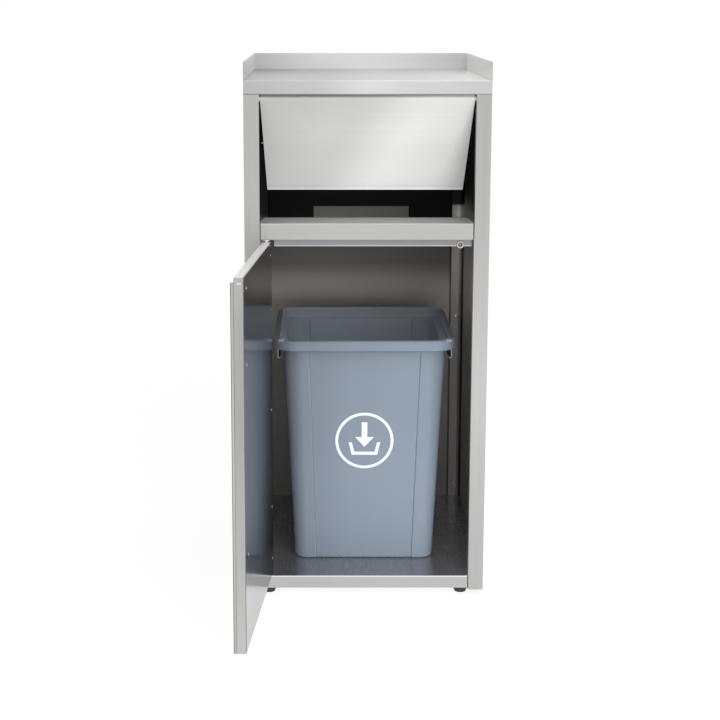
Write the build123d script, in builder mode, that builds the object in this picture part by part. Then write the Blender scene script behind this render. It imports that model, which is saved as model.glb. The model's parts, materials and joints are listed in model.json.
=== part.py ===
"""Stainless steel tray-top waste bin cabinet with a push flap, a hinged door and a loose inner bin."""
import math
import os

from build123d import *

os.makedirs("parts", exist_ok=True)

# Overall sizes
width = 500.0
depth = 550.0
total_height = 1122.0
tray_height = 1085.0
front_y = -68.5
back_y = front_y + depth
half_width = width / 2
sheet = 1.2
thin_sheet = 1.0

# Side panels
side_bottom = 11.0
fascia_height = 28.5
side_top = tray_height - fascia_height
post_width = 31.5
post_lip = 15.0
rear_flange = 30.0
inner_half = half_width - sheet
opening_half = half_width - post_width
rear_flange_y = back_y - 2 * sheet

# Tray and gallery
gallery_sheet = 1.5
gallery_inner = half_width - gallery_sheet
tray_skirt_bottom = 1030.0
fascia_return = 15.0

# Base
floor_top = 42.0
base_bottom = 14.7
base_lip = 52.0
notch_y = front_y + post_lip + 0.4
channel_x = 204.0
channel_half = 20.0
channel_sheet = 1.5
channel_front = front_y + post_lip + 2.0
channel_back = rear_flange_y - sheet

# Feet
foot_x = 204.0
foot_front_y = front_y + 25.0
foot_back_y = back_y - 36.0
foot_top_radius = 16.0
foot_bottom_radius = 12.0
foot_taper_height = 10.0
stud_radius = 4.0
stud_bottom = 6.0
stud_top = 34.0
stud_chamfer = 1.0
stud_hole_radius = 4.25
nut_bore_radius = 4.05
nut_radius = 7.5
nut_height = 6.5
foot_names = ["front_left", "front_right", "back_left", "back_right"]
foot_places = [(-foot_x, foot_front_y), (foot_x, foot_front_y), (-foot_x, foot_back_y), (foot_x, foot_back_y)]

# Middle rail and door stop
rail_top = 796.0
rail_bottom = 761.4
rail_depth = 90.0
rail_under = 40.0
rail_rear_drop = 16.0
rail_cut = 5.5
stop_y = front_y + 22.0
stop_bottom = 745.5
stop_left = -190.0
stop_right = 216.0
catch_x = 192.5
catch_z = 749.4
catch_radius = 8.0
catch_bore = 4.1
catch_depth = 3.6
catch_chamfer = 0.8
screw_head_radius = 4.0
screw_head_depth = 2.4
screw_radius = 2.0
screw_length = 12.0

# Door
door_bottom = 44.5
door_top = 756.0
pivot_x = -205.5
pivot_y = front_y + 8.0
door_angle = 95.0
door_hinge_edge = -10.0
door_free_edge = 421.5
door_outer = -8.0
door_inner = 10.0
door_corner = 6.0
door_skin = 0.8
door_return = 50.0
skin_margin = 1.5
pull_height_gap = 9.0
pull_proud = 6.0
pull_base = 14.0
slot_width = 9.0
slot_height = 4.0
slot_drop = 9.0
pin_radius = 4.0
bush_bore = 4.05
bush_radius = 5.0
bush_flange_radius = 7.0
bush_flange = 2.0
bush_barrel = 7.0
pin_reach = 11.0
door_pin_inside = 20.0
rivet_radius = 2.0
rivet_head_radius = 3.4
rivet_head = 0.8
rivet_tail = 4.0
block_half = 20.0
block_low = -7.0
block_high = 12.0
block_outer = -5.5
free_rivet_x = 381.0
hinge_rivet_x = 8.0
free_rivet_z = [730.5, 588.0, 225.7, 84.5]
hinge_rivet_z = [731.0, 616.6, 405.5, 194.9, 82.0]
door_rivet_places = [(free_rivet_x, z) for z in free_rivet_z] + [(hinge_rivet_x, z) for z in hinge_rivet_z]

# Flap
flap_pivot_y = front_y + 9.0
flap_pivot_z = 1048.0
flap_angle = 36.0
flap_top_edge = 5.0
flap_length = 246.0
flap_top_half = 216.5
flap_bottom_half = 207.2
flap_front = 4.0
flap_back = -6.0
flap_skin = 0.8
flap_pin_radius = 3.0
flap_bush_bore = 3.05
flap_bush_radius = 4.5
flap_bush_flange_radius = 6.0
flap_bush_flange = 1.0
flap_bush_barrel = 4.5
flap_pin_in = 204.0
flap_pin_out = 222.5
bracket_in = 204.0
bracket_out = 214.6
bracket_drop = 12.0

# Inner bin
bin_y = front_y + 258.0
bin_top = 537.0
bin_bottom = floor_top
bin_rim = (387.0, 388.0)
bin_rim_height = 22.5
bin_rim_corner = 50.0
bin_rim_wall = 3.0
bin_body_top = (348.0, 346.0)
bin_body_bottom = (300.0, 303.0)
bin_top_corner = 38.0
bin_bottom_corner = 28.0
bin_wall = 3.0
bin_floor = 4.0
bin_panel_top = 118.8
bin_panel_bottom = 102.4
bin_panel_step = 1.0
bin_lip_round = 5.0
bin_mouth_round = 1.5
grip_x = 187.0
grip_length = 300.0
grip_bottom = 490.0

# Rivets in the cabinet
back_rivet_x = 233.0
back_rivet_z = [75.0, 494.0, 913.0]
side_rivet_y = front_y + 352.0
side_rivet_z = [143.0, 700.0]
side_rivet_places = [(side_rivet_y, z) for z in side_rivet_z]
back_rivet_places = [(side * back_rivet_x, z) for side in (-1, 1) for z in back_rivet_z]

cos_door = math.cos(math.radians(-door_angle))
sin_door = math.sin(math.radians(-door_angle))
cos_flap = math.cos(math.radians(flap_angle))
sin_flap = math.sin(math.radians(flap_angle))
door_plane = Plane(origin=(pivot_x, pivot_y, 0), x_dir=(cos_door, sin_door, 0), z_dir=(0, 0, 1))
flap_plane = Plane(
    origin=(0, flap_pivot_y, flap_pivot_z),
    x_dir=(1, 0, 0),
    z_dir=(0, -cos_flap, -sin_flap),
)
door_face = Plane(
    origin=(pivot_x, pivot_y, 0),
    x_dir=(cos_door, sin_door, 0),
    z_dir=(sin_door, -cos_door, 0),
)


def span(x0, y0, x1, y1):
    """Add one rectangle to the current sketch, given by two opposite corners."""
    with Locations((min(x0, x1), min(y0, y1))):
        Rectangle(abs(x1 - x0), abs(y1 - y0), align=(Align.MIN, Align.MIN))


def bin_outline(size, radius, inset):
    """Add one rounded rectangle about the middle of the inner bin, drawn in by an inset."""
    with Locations((0, bin_y)):
        RectangleRounded(size[0] - 2 * inset, size[1] - 2 * inset, radius - inset)


def side_outline(side):
    """Draw the folded section of a side panel in plan, for the left (-1) or right (+1) side."""
    span(side * half_width, front_y, side * inner_half, rear_flange_y + sheet)
    span(side * half_width, front_y, side * opening_half, front_y + sheet)
    span(side * opening_half, front_y, side * (opening_half + sheet), front_y + post_lip)
    span(side * half_width, rear_flange_y, side * (half_width - rear_flange), rear_flange_y + sheet)


def base_outline(inset):
    """Draw the floor in plan: notched at the front corners so that it passes between the posts."""
    span(inset - opening_half, front_y + inset, opening_half - inset, notch_y + inset + sheet)
    span(inset - inner_half, notch_y + inset, inner_half - inset, rear_flange_y - inset)


def flap_outline(inset):
    """Draw the flap's face, which narrows downwards, drawn in by an inset."""
    Polygon(
        (inset - flap_top_half, flap_top_edge - inset),
        (flap_top_half - inset, flap_top_edge - inset),
        (flap_bottom_half - inset, inset - flap_length),
        (inset - flap_bottom_half, inset - flap_length),
        align=None,
    )


def door_outline(inset):
    """Draw the door pan in plan, with its outer corner at the hinge side rounded."""
    left, right = door_hinge_edge + inset, door_free_edge - inset
    low, high = door_outer + inset, door_inner - door_skin - inset
    radius = door_corner - inset
    span(left + radius, low, right, high)
    span(left, low + radius, right, high)
    with Locations((left + radius, low + radius)):
        Circle(radius)


# Side panels, each one sheet folded to a post at the front and a flange at the rear
with BuildPart() as side_panel_left:
    with BuildSketch(Plane.XY.offset(side_bottom)):
        side_outline(-1)
    extrude(amount=side_top - side_bottom)
    with BuildSketch(Plane.YZ.offset(-opening_half)):
        with Locations((flap_pivot_y, flap_pivot_z)):
            Circle(flap_bush_radius)
    extrude(amount=-sheet, mode=Mode.SUBTRACT)
    with BuildSketch(Plane.YZ.offset(-half_width)):
        with Locations(side_rivet_places):
            Circle(rivet_radius)
    extrude(amount=sheet, mode=Mode.SUBTRACT)
    with BuildSketch(Plane.XZ.offset(-rear_flange_y)):
        with Locations([(-back_rivet_x, z) for z in back_rivet_z]):
            Circle(rivet_radius)
    extrude(amount=-sheet, mode=Mode.SUBTRACT)
side_panel_left.part.label = "side_panel_left"
export_step(side_panel_left.part, "parts/side_panel_left.step")

with BuildPart() as side_panel_right:
    with BuildSketch(Plane.XY.offset(side_bottom)):
        side_outline(1)
    extrude(amount=side_top - side_bottom)
    with BuildSketch(Plane.YZ.offset(opening_half)):
        with Locations((flap_pivot_y, flap_pivot_z)):
            Circle(flap_bush_radius)
    extrude(amount=sheet, mode=Mode.SUBTRACT)
    with BuildSketch(Plane.YZ.offset(half_width)):
        with Locations(side_rivet_places):
            Circle(rivet_radius)
    extrude(amount=-sheet, mode=Mode.SUBTRACT)
    with BuildSketch(Plane.XZ.offset(-rear_flange_y)):
        with Locations([(back_rivet_x, z) for z in back_rivet_z]):
            Circle(rivet_radius)
    extrude(amount=-sheet, mode=Mode.SUBTRACT)
side_panel_right.part.label = "side_panel_right"
export_step(side_panel_right.part, "parts/side_panel_right.step")

# Back panel and the rivets that hold it to the rear flanges
with BuildPart() as back_panel:
    with BuildSketch(Plane.XZ.offset(-back_y)):
        span(-half_width, side_bottom, half_width, side_top)
        with Locations(back_rivet_places):
            Circle(rivet_radius, mode=Mode.SUBTRACT)
    extrude(amount=sheet)
back_panel.part.label = "back_panel"
export_step(back_panel.part, "parts/back_panel.step")

with BuildPart() as back_panel_rivets:
    with BuildSketch(Plane.XZ.offset(-back_y)):
        with Locations(back_rivet_places):
            Circle(rivet_radius)
    extrude(amount=2 * sheet)
    with BuildSketch(Plane.XZ.offset(-rear_flange_y)):
        with Locations(back_rivet_places):
            Circle(rivet_head_radius)
    extrude(amount=rivet_head)
back_panel_rivets.part.label = "back_panel_rivets"
export_step(back_panel_rivets.part, "parts/back_panel_rivets.step")

# Rivets in the side walls
with BuildPart() as side_wall_rivets:
    for side in (-1, 1):
        with BuildSketch(Plane.YZ.offset(side * half_width)):
            with Locations(side_rivet_places):
                Circle(rivet_radius)
        extrude(amount=-side * sheet)
        with BuildSketch(Plane.YZ.offset(side * inner_half)):
            with Locations(side_rivet_places):
                Circle(rivet_head_radius)
        extrude(amount=-side * rivet_head)
side_wall_rivets.part.label = "side_wall_rivets"
export_step(side_wall_rivets.part, "parts/side_wall_rivets.step")

# Gallery round three sides of the tray
with BuildPart() as gallery_rail:
    with BuildSketch(Plane.XY.offset(side_top)):
        span(-half_width, front_y + sheet, half_width, back_y)
    extrude(amount=total_height - side_top)
    with BuildSketch(Plane.XY.offset(side_top)):
        span(-gallery_inner, front_y + sheet, gallery_inner, back_y - gallery_sheet)
    extrude(amount=total_height - side_top, mode=Mode.SUBTRACT)
gallery_rail.part.label = "gallery_rail"
export_step(gallery_rail.part, "parts/gallery_rail.step")

# Tray top with its front fascia and the skirts that lap inside the cabinet
with BuildPart() as tray_top:
    with BuildSketch(Plane.XY.offset(tray_height - sheet)):
        span(-gallery_inner, front_y, gallery_inner, back_y - gallery_sheet)
    extrude(amount=sheet)
    with BuildSketch(Plane.XY.offset(side_top)):
        span(-half_width, front_y, half_width, front_y + sheet)
    extrude(amount=fascia_height)
    with BuildSketch(Plane.XY.offset(side_top)):
        span(-opening_half, front_y, opening_half, front_y + fascia_return)
    extrude(amount=sheet)
    with BuildSketch(Plane.XY.offset(tray_skirt_bottom)):
        for side in (-1, 1):
            span(side * gallery_inner, notch_y, side * (gallery_inner - sheet), rear_flange_y)
    extrude(amount=tray_height - tray_skirt_bottom)
    with BuildSketch(Plane.XY.offset(side_top)):
        span(-gallery_inner, back_y - gallery_sheet, gallery_inner, back_y - gallery_sheet - sheet)
    extrude(amount=fascia_height)
tray_top.part.label = "tray_top"
export_step(tray_top.part, "parts/tray_top.step")

# Base tray, a pan folded down all round with a return lip
with BuildPart() as base_tray:
    with BuildSketch(Plane.XY.offset(base_bottom)):
        base_outline(0)
    extrude(amount=floor_top - base_bottom)
    with BuildSketch(Plane.XY.offset(base_bottom + sheet)):
        base_outline(sheet)
    extrude(amount=floor_top - base_bottom - 2 * sheet, mode=Mode.SUBTRACT)
    with BuildSketch(Plane.XY.offset(base_bottom)):
        span(base_lip - inner_half, front_y + base_lip, inner_half - base_lip, rear_flange_y - base_lip)
        with Locations(foot_places):
            Circle(stud_hole_radius)
    extrude(amount=sheet, mode=Mode.SUBTRACT)
    with BuildSketch(Plane.XY.offset(floor_top - sheet)):
        with Locations((pivot_x, pivot_y)):
            Circle(bush_radius)
    extrude(amount=sheet, mode=Mode.SUBTRACT)
base_tray.part.label = "base_tray"
export_step(base_tray.part, "parts/base_tray.step")

# Two channels under the floor that carry the feet
with BuildPart() as base_channels:
    for side in (-1, 1):
        low, high = side * channel_x - channel_half, side * channel_x + channel_half
        with BuildSketch(Plane.XY.offset(base_bottom + sheet)):
            span(low, channel_front, high, channel_back)
        extrude(amount=floor_top - base_bottom - 2 * sheet)
        with BuildSketch(Plane.XY.offset(base_bottom + sheet + channel_sheet)):
            span(low + channel_sheet, channel_front, high - channel_sheet, channel_back)
        extrude(amount=floor_top - base_bottom, mode=Mode.SUBTRACT)
    with BuildSketch(Plane.XY.offset(base_bottom + sheet)):
        with Locations(foot_places):
            Circle(stud_hole_radius)
    extrude(amount=channel_sheet, mode=Mode.SUBTRACT)
base_channels.part.label = "base_channels"
export_step(base_channels.part, "parts/base_channels.step")

# Nuts that the feet screw into
with BuildPart() as foot_nuts:
    with BuildSketch(Plane.XY.offset(base_bottom + sheet + channel_sheet)):
        with Locations(foot_places):
            RegularPolygon(nut_radius, 6)
            Circle(nut_bore_radius, mode=Mode.SUBTRACT)
    extrude(amount=nut_height)
foot_nuts.part.label = "foot_nuts"
export_step(foot_nuts.part, "parts/foot_nuts.step")

# Levelling feet, each a rubber pad on a stud
for foot_name, foot_place in zip(foot_names, foot_places):
    with BuildPart() as foot_pad:
        with BuildSketch(Plane.XY.offset(foot_taper_height)):
            with Locations(foot_place):
                Circle(foot_top_radius)
        extrude(amount=base_bottom - foot_taper_height)
        with BuildSketch(Plane.XY):
            with Locations(foot_place):
                Circle(foot_bottom_radius)
        with BuildSketch(Plane.XY.offset(foot_taper_height)):
            with Locations(foot_place):
                Circle(foot_top_radius)
        loft()
        with BuildSketch(Plane.XY.offset(stud_bottom)):
            with Locations(foot_place):
                Circle(stud_radius)
        extrude(amount=base_bottom - stud_bottom, mode=Mode.SUBTRACT)
    foot_pad.part.label = f"foot_pad_{foot_name}"
    export_step(foot_pad.part, f"parts/foot_pad_{foot_name}.step")

    with BuildPart() as foot_stud:
        with BuildSketch(Plane.XY.offset(stud_bottom)):
            with Locations(foot_place):
                Circle(stud_radius)
        extrude(amount=stud_top - stud_bottom)
        chamfer(foot_stud.edges().sort_by(Axis.Z)[-1], stud_chamfer)
    foot_stud.part.label = f"foot_stud_{foot_name}"
    export_step(foot_stud.part, f"parts/foot_stud_{foot_name}.step")

# Middle rail between the two openings
with BuildPart() as middle_rail:
    with BuildSketch(Plane.YZ.offset(-opening_half)):
        span(front_y, rail_top - sheet, front_y + rail_depth, rail_top)
        span(front_y, rail_bottom, front_y + sheet, rail_top)
        span(front_y, rail_bottom, front_y + rail_under, rail_bottom + sheet)
        span(front_y + rail_depth - sheet, rail_top - rail_rear_drop, front_y + rail_depth, rail_top)
    extrude(amount=2 * opening_half)
    with BuildSketch(Plane.XY.offset(rail_bottom)):
        for side in (-1, 1):
            with BuildLine():
                Polyline(
                    (side * opening_half, front_y + post_lip),
                    (side * opening_half, front_y + rail_depth),
                    (side * (opening_half - rail_cut), front_y + rail_depth),
                    close=True,
                )
            make_face()
    extrude(amount=rail_top - rail_bottom, mode=Mode.SUBTRACT)
    with BuildSketch(Plane.XY.offset(rail_bottom)):
        with Locations((pivot_x, pivot_y)):
            Circle(bush_radius)
    extrude(amount=sheet, mode=Mode.SUBTRACT)
middle_rail.part.label = "middle_rail"
export_step(middle_rail.part, "parts/middle_rail.step")

# Angle strip that the closed door stops against, with its magnetic catch
with BuildPart() as door_stop_strip:
    with BuildSketch(Plane.YZ.offset(stop_left)):
        span(stop_y, stop_bottom, stop_y + sheet, rail_bottom)
        span(stop_y, rail_bottom - sheet, front_y + rail_under, rail_bottom)
    extrude(amount=stop_right - stop_left)
    with BuildSketch(Plane.XZ.offset(-stop_y)):
        with Locations((catch_x, catch_z)):
            Circle(screw_radius)
    extrude(amount=-sheet, mode=Mode.SUBTRACT)
door_stop_strip.part.label = "door_stop_strip"
export_step(door_stop_strip.part, "parts/door_stop_strip.step")

with BuildPart() as door_catch_magnet:
    with BuildSketch(Plane.XZ.offset(-stop_y)):
        with Locations((catch_x, catch_z)):
            Circle(catch_radius)
            Circle(catch_bore, mode=Mode.SUBTRACT)
    extrude(amount=catch_depth)
    chamfer(door_catch_magnet.edges().group_by(Axis.Y)[0].sort_by(SortBy.LENGTH)[-1], catch_chamfer)
door_catch_magnet.part.label = "door_catch_magnet"
export_step(door_catch_magnet.part, "parts/door_catch_magnet.step")

with BuildPart() as door_catch_screw:
    with BuildSketch(Plane.XZ.offset(-stop_y)):
        with Locations((catch_x, catch_z)):
            Circle(screw_head_radius)
    extrude(amount=screw_head_depth)
    with BuildSketch(Plane.XZ.offset(-stop_y)):
        with Locations((catch_x, catch_z)):
            Circle(screw_radius)
    extrude(amount=-screw_length)
door_catch_screw.part.label = "door_catch_screw"
export_step(door_catch_screw.part, "parts/door_catch_screw.step")

# Bushes that the door and flap pins turn in
with BuildPart() as door_pivot_bushes:
    with BuildSketch(Plane.XY.offset(rail_bottom - bush_flange)):
        with Locations((pivot_x, pivot_y)):
            Circle(bush_flange_radius)
    extrude(amount=bush_flange)
    with BuildSketch(Plane.XY.offset(rail_bottom)):
        with Locations((pivot_x, pivot_y)):
            Circle(bush_radius)
    extrude(amount=bush_barrel)
    with BuildSketch(Plane.XY.offset(floor_top)):
        with Locations((pivot_x, pivot_y)):
            Circle(bush_flange_radius)
    extrude(amount=bush_flange)
    with BuildSketch(Plane.XY.offset(floor_top)):
        with Locations((pivot_x, pivot_y)):
            Circle(bush_radius)
    extrude(amount=-bush_barrel)
    with BuildSketch(Plane.XY):
        with Locations((pivot_x, pivot_y)):
            Circle(bush_bore)
    extrude(amount=total_height, mode=Mode.SUBTRACT)
door_pivot_bushes.part.label = "door_pivot_bushes"
export_step(door_pivot_bushes.part, "parts/door_pivot_bushes.step")

with BuildPart() as flap_pivot_bushes:
    for side in (-1, 1):
        with BuildSketch(Plane.YZ.offset(side * opening_half)):
            with Locations((flap_pivot_y, flap_pivot_z)):
                Circle(flap_bush_flange_radius)
        extrude(amount=-side * flap_bush_flange)
        with BuildSketch(Plane.YZ.offset(side * opening_half)):
            with Locations((flap_pivot_y, flap_pivot_z)):
                Circle(flap_bush_radius)
        extrude(amount=side * flap_bush_barrel)
    with BuildSketch(Plane.YZ.offset(-half_width)):
        with Locations((flap_pivot_y, flap_pivot_z)):
            Circle(flap_bush_bore)
    extrude(amount=width, mode=Mode.SUBTRACT)
flap_pivot_bushes.part.label = "flap_pivot_bushes"
export_step(flap_pivot_bushes.part, "parts/flap_pivot_bushes.step")

# Flap, a shallow pan that narrows downwards, drawn in its own plane
with BuildPart() as flap_pan:
    with BuildSketch(flap_plane.offset(flap_front)):
        flap_outline(0)
    extrude(amount=flap_back - flap_front)
    with BuildSketch(flap_plane.offset(flap_front - flap_skin)):
        flap_outline(flap_skin)
    extrude(amount=flap_back - flap_front, mode=Mode.SUBTRACT)
    with BuildSketch(Plane.YZ.offset(-half_width)):
        with Locations((flap_pivot_y, flap_pivot_z)):
            Circle(flap_pin_radius)
    extrude(amount=width, mode=Mode.SUBTRACT)
flap_pan.part.label = "flap_pan"
export_step(flap_pan.part, "parts/flap_pan.step")

with BuildPart() as flap_back_skin:
    with BuildSketch(flap_plane.offset(flap_back)):
        flap_outline(flap_skin)
    extrude(amount=flap_skin)
flap_back_skin.part.label = "flap_back_skin"
export_step(flap_back_skin.part, "parts/flap_back_skin.step")

with BuildPart() as flap_pivot_brackets:
    with BuildSketch(flap_plane.offset(flap_front - flap_skin)):
        for side in (-1, 1):
            span(side * bracket_in, flap_top_edge - flap_skin, side * bracket_out, -bracket_drop)
    extrude(amount=flap_back + flap_skin - flap_front + flap_skin)
    with BuildSketch(Plane.YZ.offset(-half_width)):
        with Locations((flap_pivot_y, flap_pivot_z)):
            Circle(flap_pin_radius)
    extrude(amount=width, mode=Mode.SUBTRACT)
flap_pivot_brackets.part.label = "flap_pivot_brackets"
export_step(flap_pivot_brackets.part, "parts/flap_pivot_brackets.step")

with BuildPart() as flap_pivot_pins:
    for side in (-1, 1):
        with BuildSketch(Plane.YZ.offset(side * flap_pin_in)):
            with Locations((flap_pivot_y, flap_pivot_z)):
                Circle(flap_pin_radius)
        extrude(amount=side * (flap_pin_out - flap_pin_in))
flap_pivot_pins.part.label = "flap_pivot_pins"
export_step(flap_pivot_pins.part, "parts/flap_pivot_pins.step")

# Door, drawn in the plane it stands open in
with BuildPart() as door_outer_pan:
    with BuildSketch(door_plane.offset(door_bottom)):
        door_outline(0)
    extrude(amount=door_top - door_bottom)
    with BuildSketch(door_plane.offset(door_bottom + thin_sheet)):
        door_outline(thin_sheet)
    extrude(amount=door_top - door_bottom - 2 * thin_sheet, mode=Mode.SUBTRACT)
    with BuildSketch(door_face.offset(-door_inner)):
        span(
            door_hinge_edge + door_return,
            door_bottom + door_return,
            door_free_edge - door_return,
            door_top - door_return,
        )
        with Locations(door_rivet_places):
            Circle(rivet_radius)
    extrude(amount=door_skin + thin_sheet, mode=Mode.SUBTRACT)
    with BuildSketch(door_plane.offset(door_top - slot_drop - slot_height)):
        span(door_free_edge - 2 * thin_sheet, -slot_width / 3, door_free_edge, 2 * slot_width / 3)
    extrude(amount=slot_height, mode=Mode.SUBTRACT)
    with BuildSketch(Plane.XY):
        with Locations((pivot_x, pivot_y)):
            Circle(pin_radius)
    extrude(amount=total_height, mode=Mode.SUBTRACT)
door_outer_pan.part.label = "door_outer_pan"
export_step(door_outer_pan.part, "parts/door_outer_pan.step")

with BuildPart() as door_inner_skin:
    with BuildSketch(door_face.offset(-door_inner)):
        span(
            door_hinge_edge + skin_margin,
            door_bottom + skin_margin,
            door_free_edge - skin_margin,
            door_top - skin_margin,
        )
        with Locations(door_rivet_places):
            Circle(rivet_radius, mode=Mode.SUBTRACT)
    extrude(amount=door_skin)
door_inner_skin.part.label = "door_inner_skin"
export_step(door_inner_skin.part, "parts/door_inner_skin.step")

with BuildPart() as door_skin_rivets:
    with BuildSketch(door_face.offset(-door_inner)):
        with Locations(door_rivet_places):
            Circle(rivet_radius)
    extrude(amount=rivet_tail)
    with BuildSketch(door_face.offset(-door_inner)):
        with Locations(door_rivet_places):
            Circle(rivet_head_radius)
    extrude(amount=-rivet_head)
door_skin_rivets.part.label = "door_skin_rivets"
export_step(door_skin_rivets.part, "parts/door_skin_rivets.step")

with BuildPart() as door_pull:
    with BuildSketch(door_plane.offset(door_bottom)):
        span(door_free_edge - pull_base, door_outer - sheet, door_free_edge, door_outer)
        span(door_free_edge - sheet, door_outer - pull_proud, door_free_edge, door_outer)
    extrude(amount=door_top - pull_height_gap - door_bottom)
door_pull.part.label = "door_pull"
export_step(door_pull.part, "parts/door_pull.step")

with BuildPart() as door_pivot_blocks:
    with BuildSketch(door_plane.offset(door_bottom + thin_sheet)):
        span(block_low, block_outer, block_high, door_inner - door_skin - thin_sheet)
    extrude(amount=block_half)
    with BuildSketch(door_plane.offset(door_top - thin_sheet)):
        span(block_low, block_outer, block_high, door_inner - door_skin - thin_sheet)
    extrude(amount=-block_half)
    with BuildSketch(Plane.XY):
        with Locations((pivot_x, pivot_y)):
            Circle(pin_radius)
    extrude(amount=total_height, mode=Mode.SUBTRACT)
door_pivot_blocks.part.label = "door_pivot_blocks"
export_step(door_pivot_blocks.part, "parts/door_pivot_blocks.step")

with BuildPart() as door_pivot_pins:
    with BuildSketch(Plane.XY.offset(door_top + pin_reach)):
        with Locations((pivot_x, pivot_y)):
            Circle(pin_radius)
    extrude(amount=-pin_reach - door_pin_inside)
    with BuildSketch(Plane.XY.offset(door_bottom - pin_reach)):
        with Locations((pivot_x, pivot_y)):
            Circle(pin_radius)
    extrude(amount=pin_reach + door_pin_inside)
door_pivot_pins.part.label = "door_pivot_pins"
export_step(door_pivot_pins.part, "parts/door_pivot_pins.step")

# Inner bin, moulded in one piece with its rim and side grips
with BuildPart() as inner_bin:
    with BuildSketch(Plane.XY.offset(bin_top - bin_rim_height)):
        bin_outline(bin_rim, bin_rim_corner, 0)
    extrude(amount=bin_rim_height)
    fillet(inner_bin.edges().group_by(Axis.Z)[-1], bin_lip_round)
    with BuildSketch(Plane.XY.offset(bin_top - bin_rim_height)):
        bin_outline(bin_rim, bin_rim_corner, bin_rim_wall)
    extrude(amount=bin_rim_height - bin_rim_wall, mode=Mode.SUBTRACT)
    with BuildSketch(Plane.XY.offset(grip_bottom)):
        for side in (-1, 1):
            span(0, bin_y - grip_length / 2, side * grip_x, bin_y + grip_length / 2)
    extrude(amount=bin_top - bin_rim_wall - grip_bottom)
    with BuildSketch(Plane.XY.offset(bin_bottom)):
        bin_outline(bin_body_bottom, bin_bottom_corner, 0)
    with BuildSketch(Plane.XY.offset(bin_top)):
        bin_outline(bin_body_top, bin_top_corner, 0)
    loft()
    with BuildSketch(Plane.XY.offset(bin_bottom + bin_floor)):
        bin_outline(bin_body_bottom, bin_bottom_corner, bin_wall)
    with BuildSketch(Plane.XY.offset(bin_top)):
        bin_outline(bin_body_top, bin_top_corner, bin_wall)
    loft(mode=Mode.SUBTRACT)
    for side in (-1, 1):
        near_top = bin_y + side * bin_body_top[1] / 2
        near_bottom = bin_y + side * bin_body_bottom[1] / 2
        with BuildSketch(Plane.XY.offset(bin_bottom)):
            span(-bin_panel_bottom, near_bottom - bin_panel_step, bin_panel_bottom, near_bottom + bin_panel_step)
        with BuildSketch(Plane.XY.offset(bin_top)):
            span(-bin_panel_top, near_top - bin_panel_step, bin_panel_top, near_top + bin_panel_step)
        loft(mode=Mode.SUBTRACT)
inner_bin.part.label = "inner_bin"
export_step(inner_bin.part, "parts/inner_bin.step")
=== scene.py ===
"""The look of a tray-top stainless steel waste cabinet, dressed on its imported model.

The cabinet stands on z 0 with its front to -Y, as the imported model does. Lengths are metres.
"""

import json
import logging
import math
from collections.abc import Callable, Sequence
from dataclasses import dataclass, field
from enum import Enum

import bmesh
import bpy
from mathutils import Matrix, Vector

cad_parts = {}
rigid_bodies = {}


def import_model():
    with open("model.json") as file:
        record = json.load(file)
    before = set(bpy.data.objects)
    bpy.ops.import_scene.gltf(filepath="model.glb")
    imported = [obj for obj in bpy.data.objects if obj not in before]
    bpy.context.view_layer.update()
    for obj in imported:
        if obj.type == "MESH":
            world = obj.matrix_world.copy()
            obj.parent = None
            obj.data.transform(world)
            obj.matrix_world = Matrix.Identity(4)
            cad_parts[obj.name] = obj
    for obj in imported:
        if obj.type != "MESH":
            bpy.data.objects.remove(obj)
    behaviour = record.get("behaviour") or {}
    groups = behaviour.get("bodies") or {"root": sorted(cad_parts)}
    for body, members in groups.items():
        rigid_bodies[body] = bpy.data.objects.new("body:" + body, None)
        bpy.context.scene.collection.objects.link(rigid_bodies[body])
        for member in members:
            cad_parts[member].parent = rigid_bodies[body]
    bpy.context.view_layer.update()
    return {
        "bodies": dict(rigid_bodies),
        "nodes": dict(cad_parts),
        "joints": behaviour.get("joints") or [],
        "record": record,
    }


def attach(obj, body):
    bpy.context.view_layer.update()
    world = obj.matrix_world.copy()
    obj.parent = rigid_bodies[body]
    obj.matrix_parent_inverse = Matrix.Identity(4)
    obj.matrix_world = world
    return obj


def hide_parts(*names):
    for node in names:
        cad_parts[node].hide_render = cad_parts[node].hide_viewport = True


LOG = logging.getLogger("waste_cabinet")

Place = tuple[float, float, float]
Pair = tuple[float, float]
Colour = tuple[float, float, float]
FaceRule = Callable[[Vector, Vector], int]

FRONT = -0.0685
BACK = 0.4815
HALF_WIDTH = 0.25
TRAY_HEIGHT = 1.085
FLOOR_HEIGHT = 0.042
OPENING_HALF = 0.2185
BACK_WALL_HALF = 0.2188
SIDE_INSIDE = 0.2488
FACING = 0.5
UPWARD = 0.7
HINGE = Vector((-0.2055, FRONT + 0.008, 0.0))
DOOR_TURN = math.radians(-95)
DOOR_ALONG = Vector((math.cos(DOOR_TURN), math.sin(DOOR_TURN), 0.0))
DOOR_INWARD = Vector((-math.sin(DOOR_TURN), math.cos(DOOR_TURN), 0.0))


def on_door(along: float, inward: float, height: float = 0.0) -> Vector:
    """A place on the open door.

    Args:
        along: Distance from the hinge towards the free edge.
        inward: Distance from the hinge's plane towards the door's inside.
        height: Height above the floor.

    Returns:
        The place with the door open as packed.
    """
    return HINGE + DOOR_ALONG * along + DOOR_INWARD * inward + Vector((0.0, 0.0, height))


class Grain(Enum):
    """The way the brushing runs on a steel face."""

    ALONG_X = (6.0, 900.0, 900.0)
    ALONG_Y = (900.0, 6.0, 900.0)
    ALONG_Z = (900.0, 900.0, 6.0)


class Body(Enum):
    """The moving groups of the cabinet."""

    CABINET = "cabinet"
    DOOR = "door"
    FLAP = "flap"
    BIN = "bin"


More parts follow.
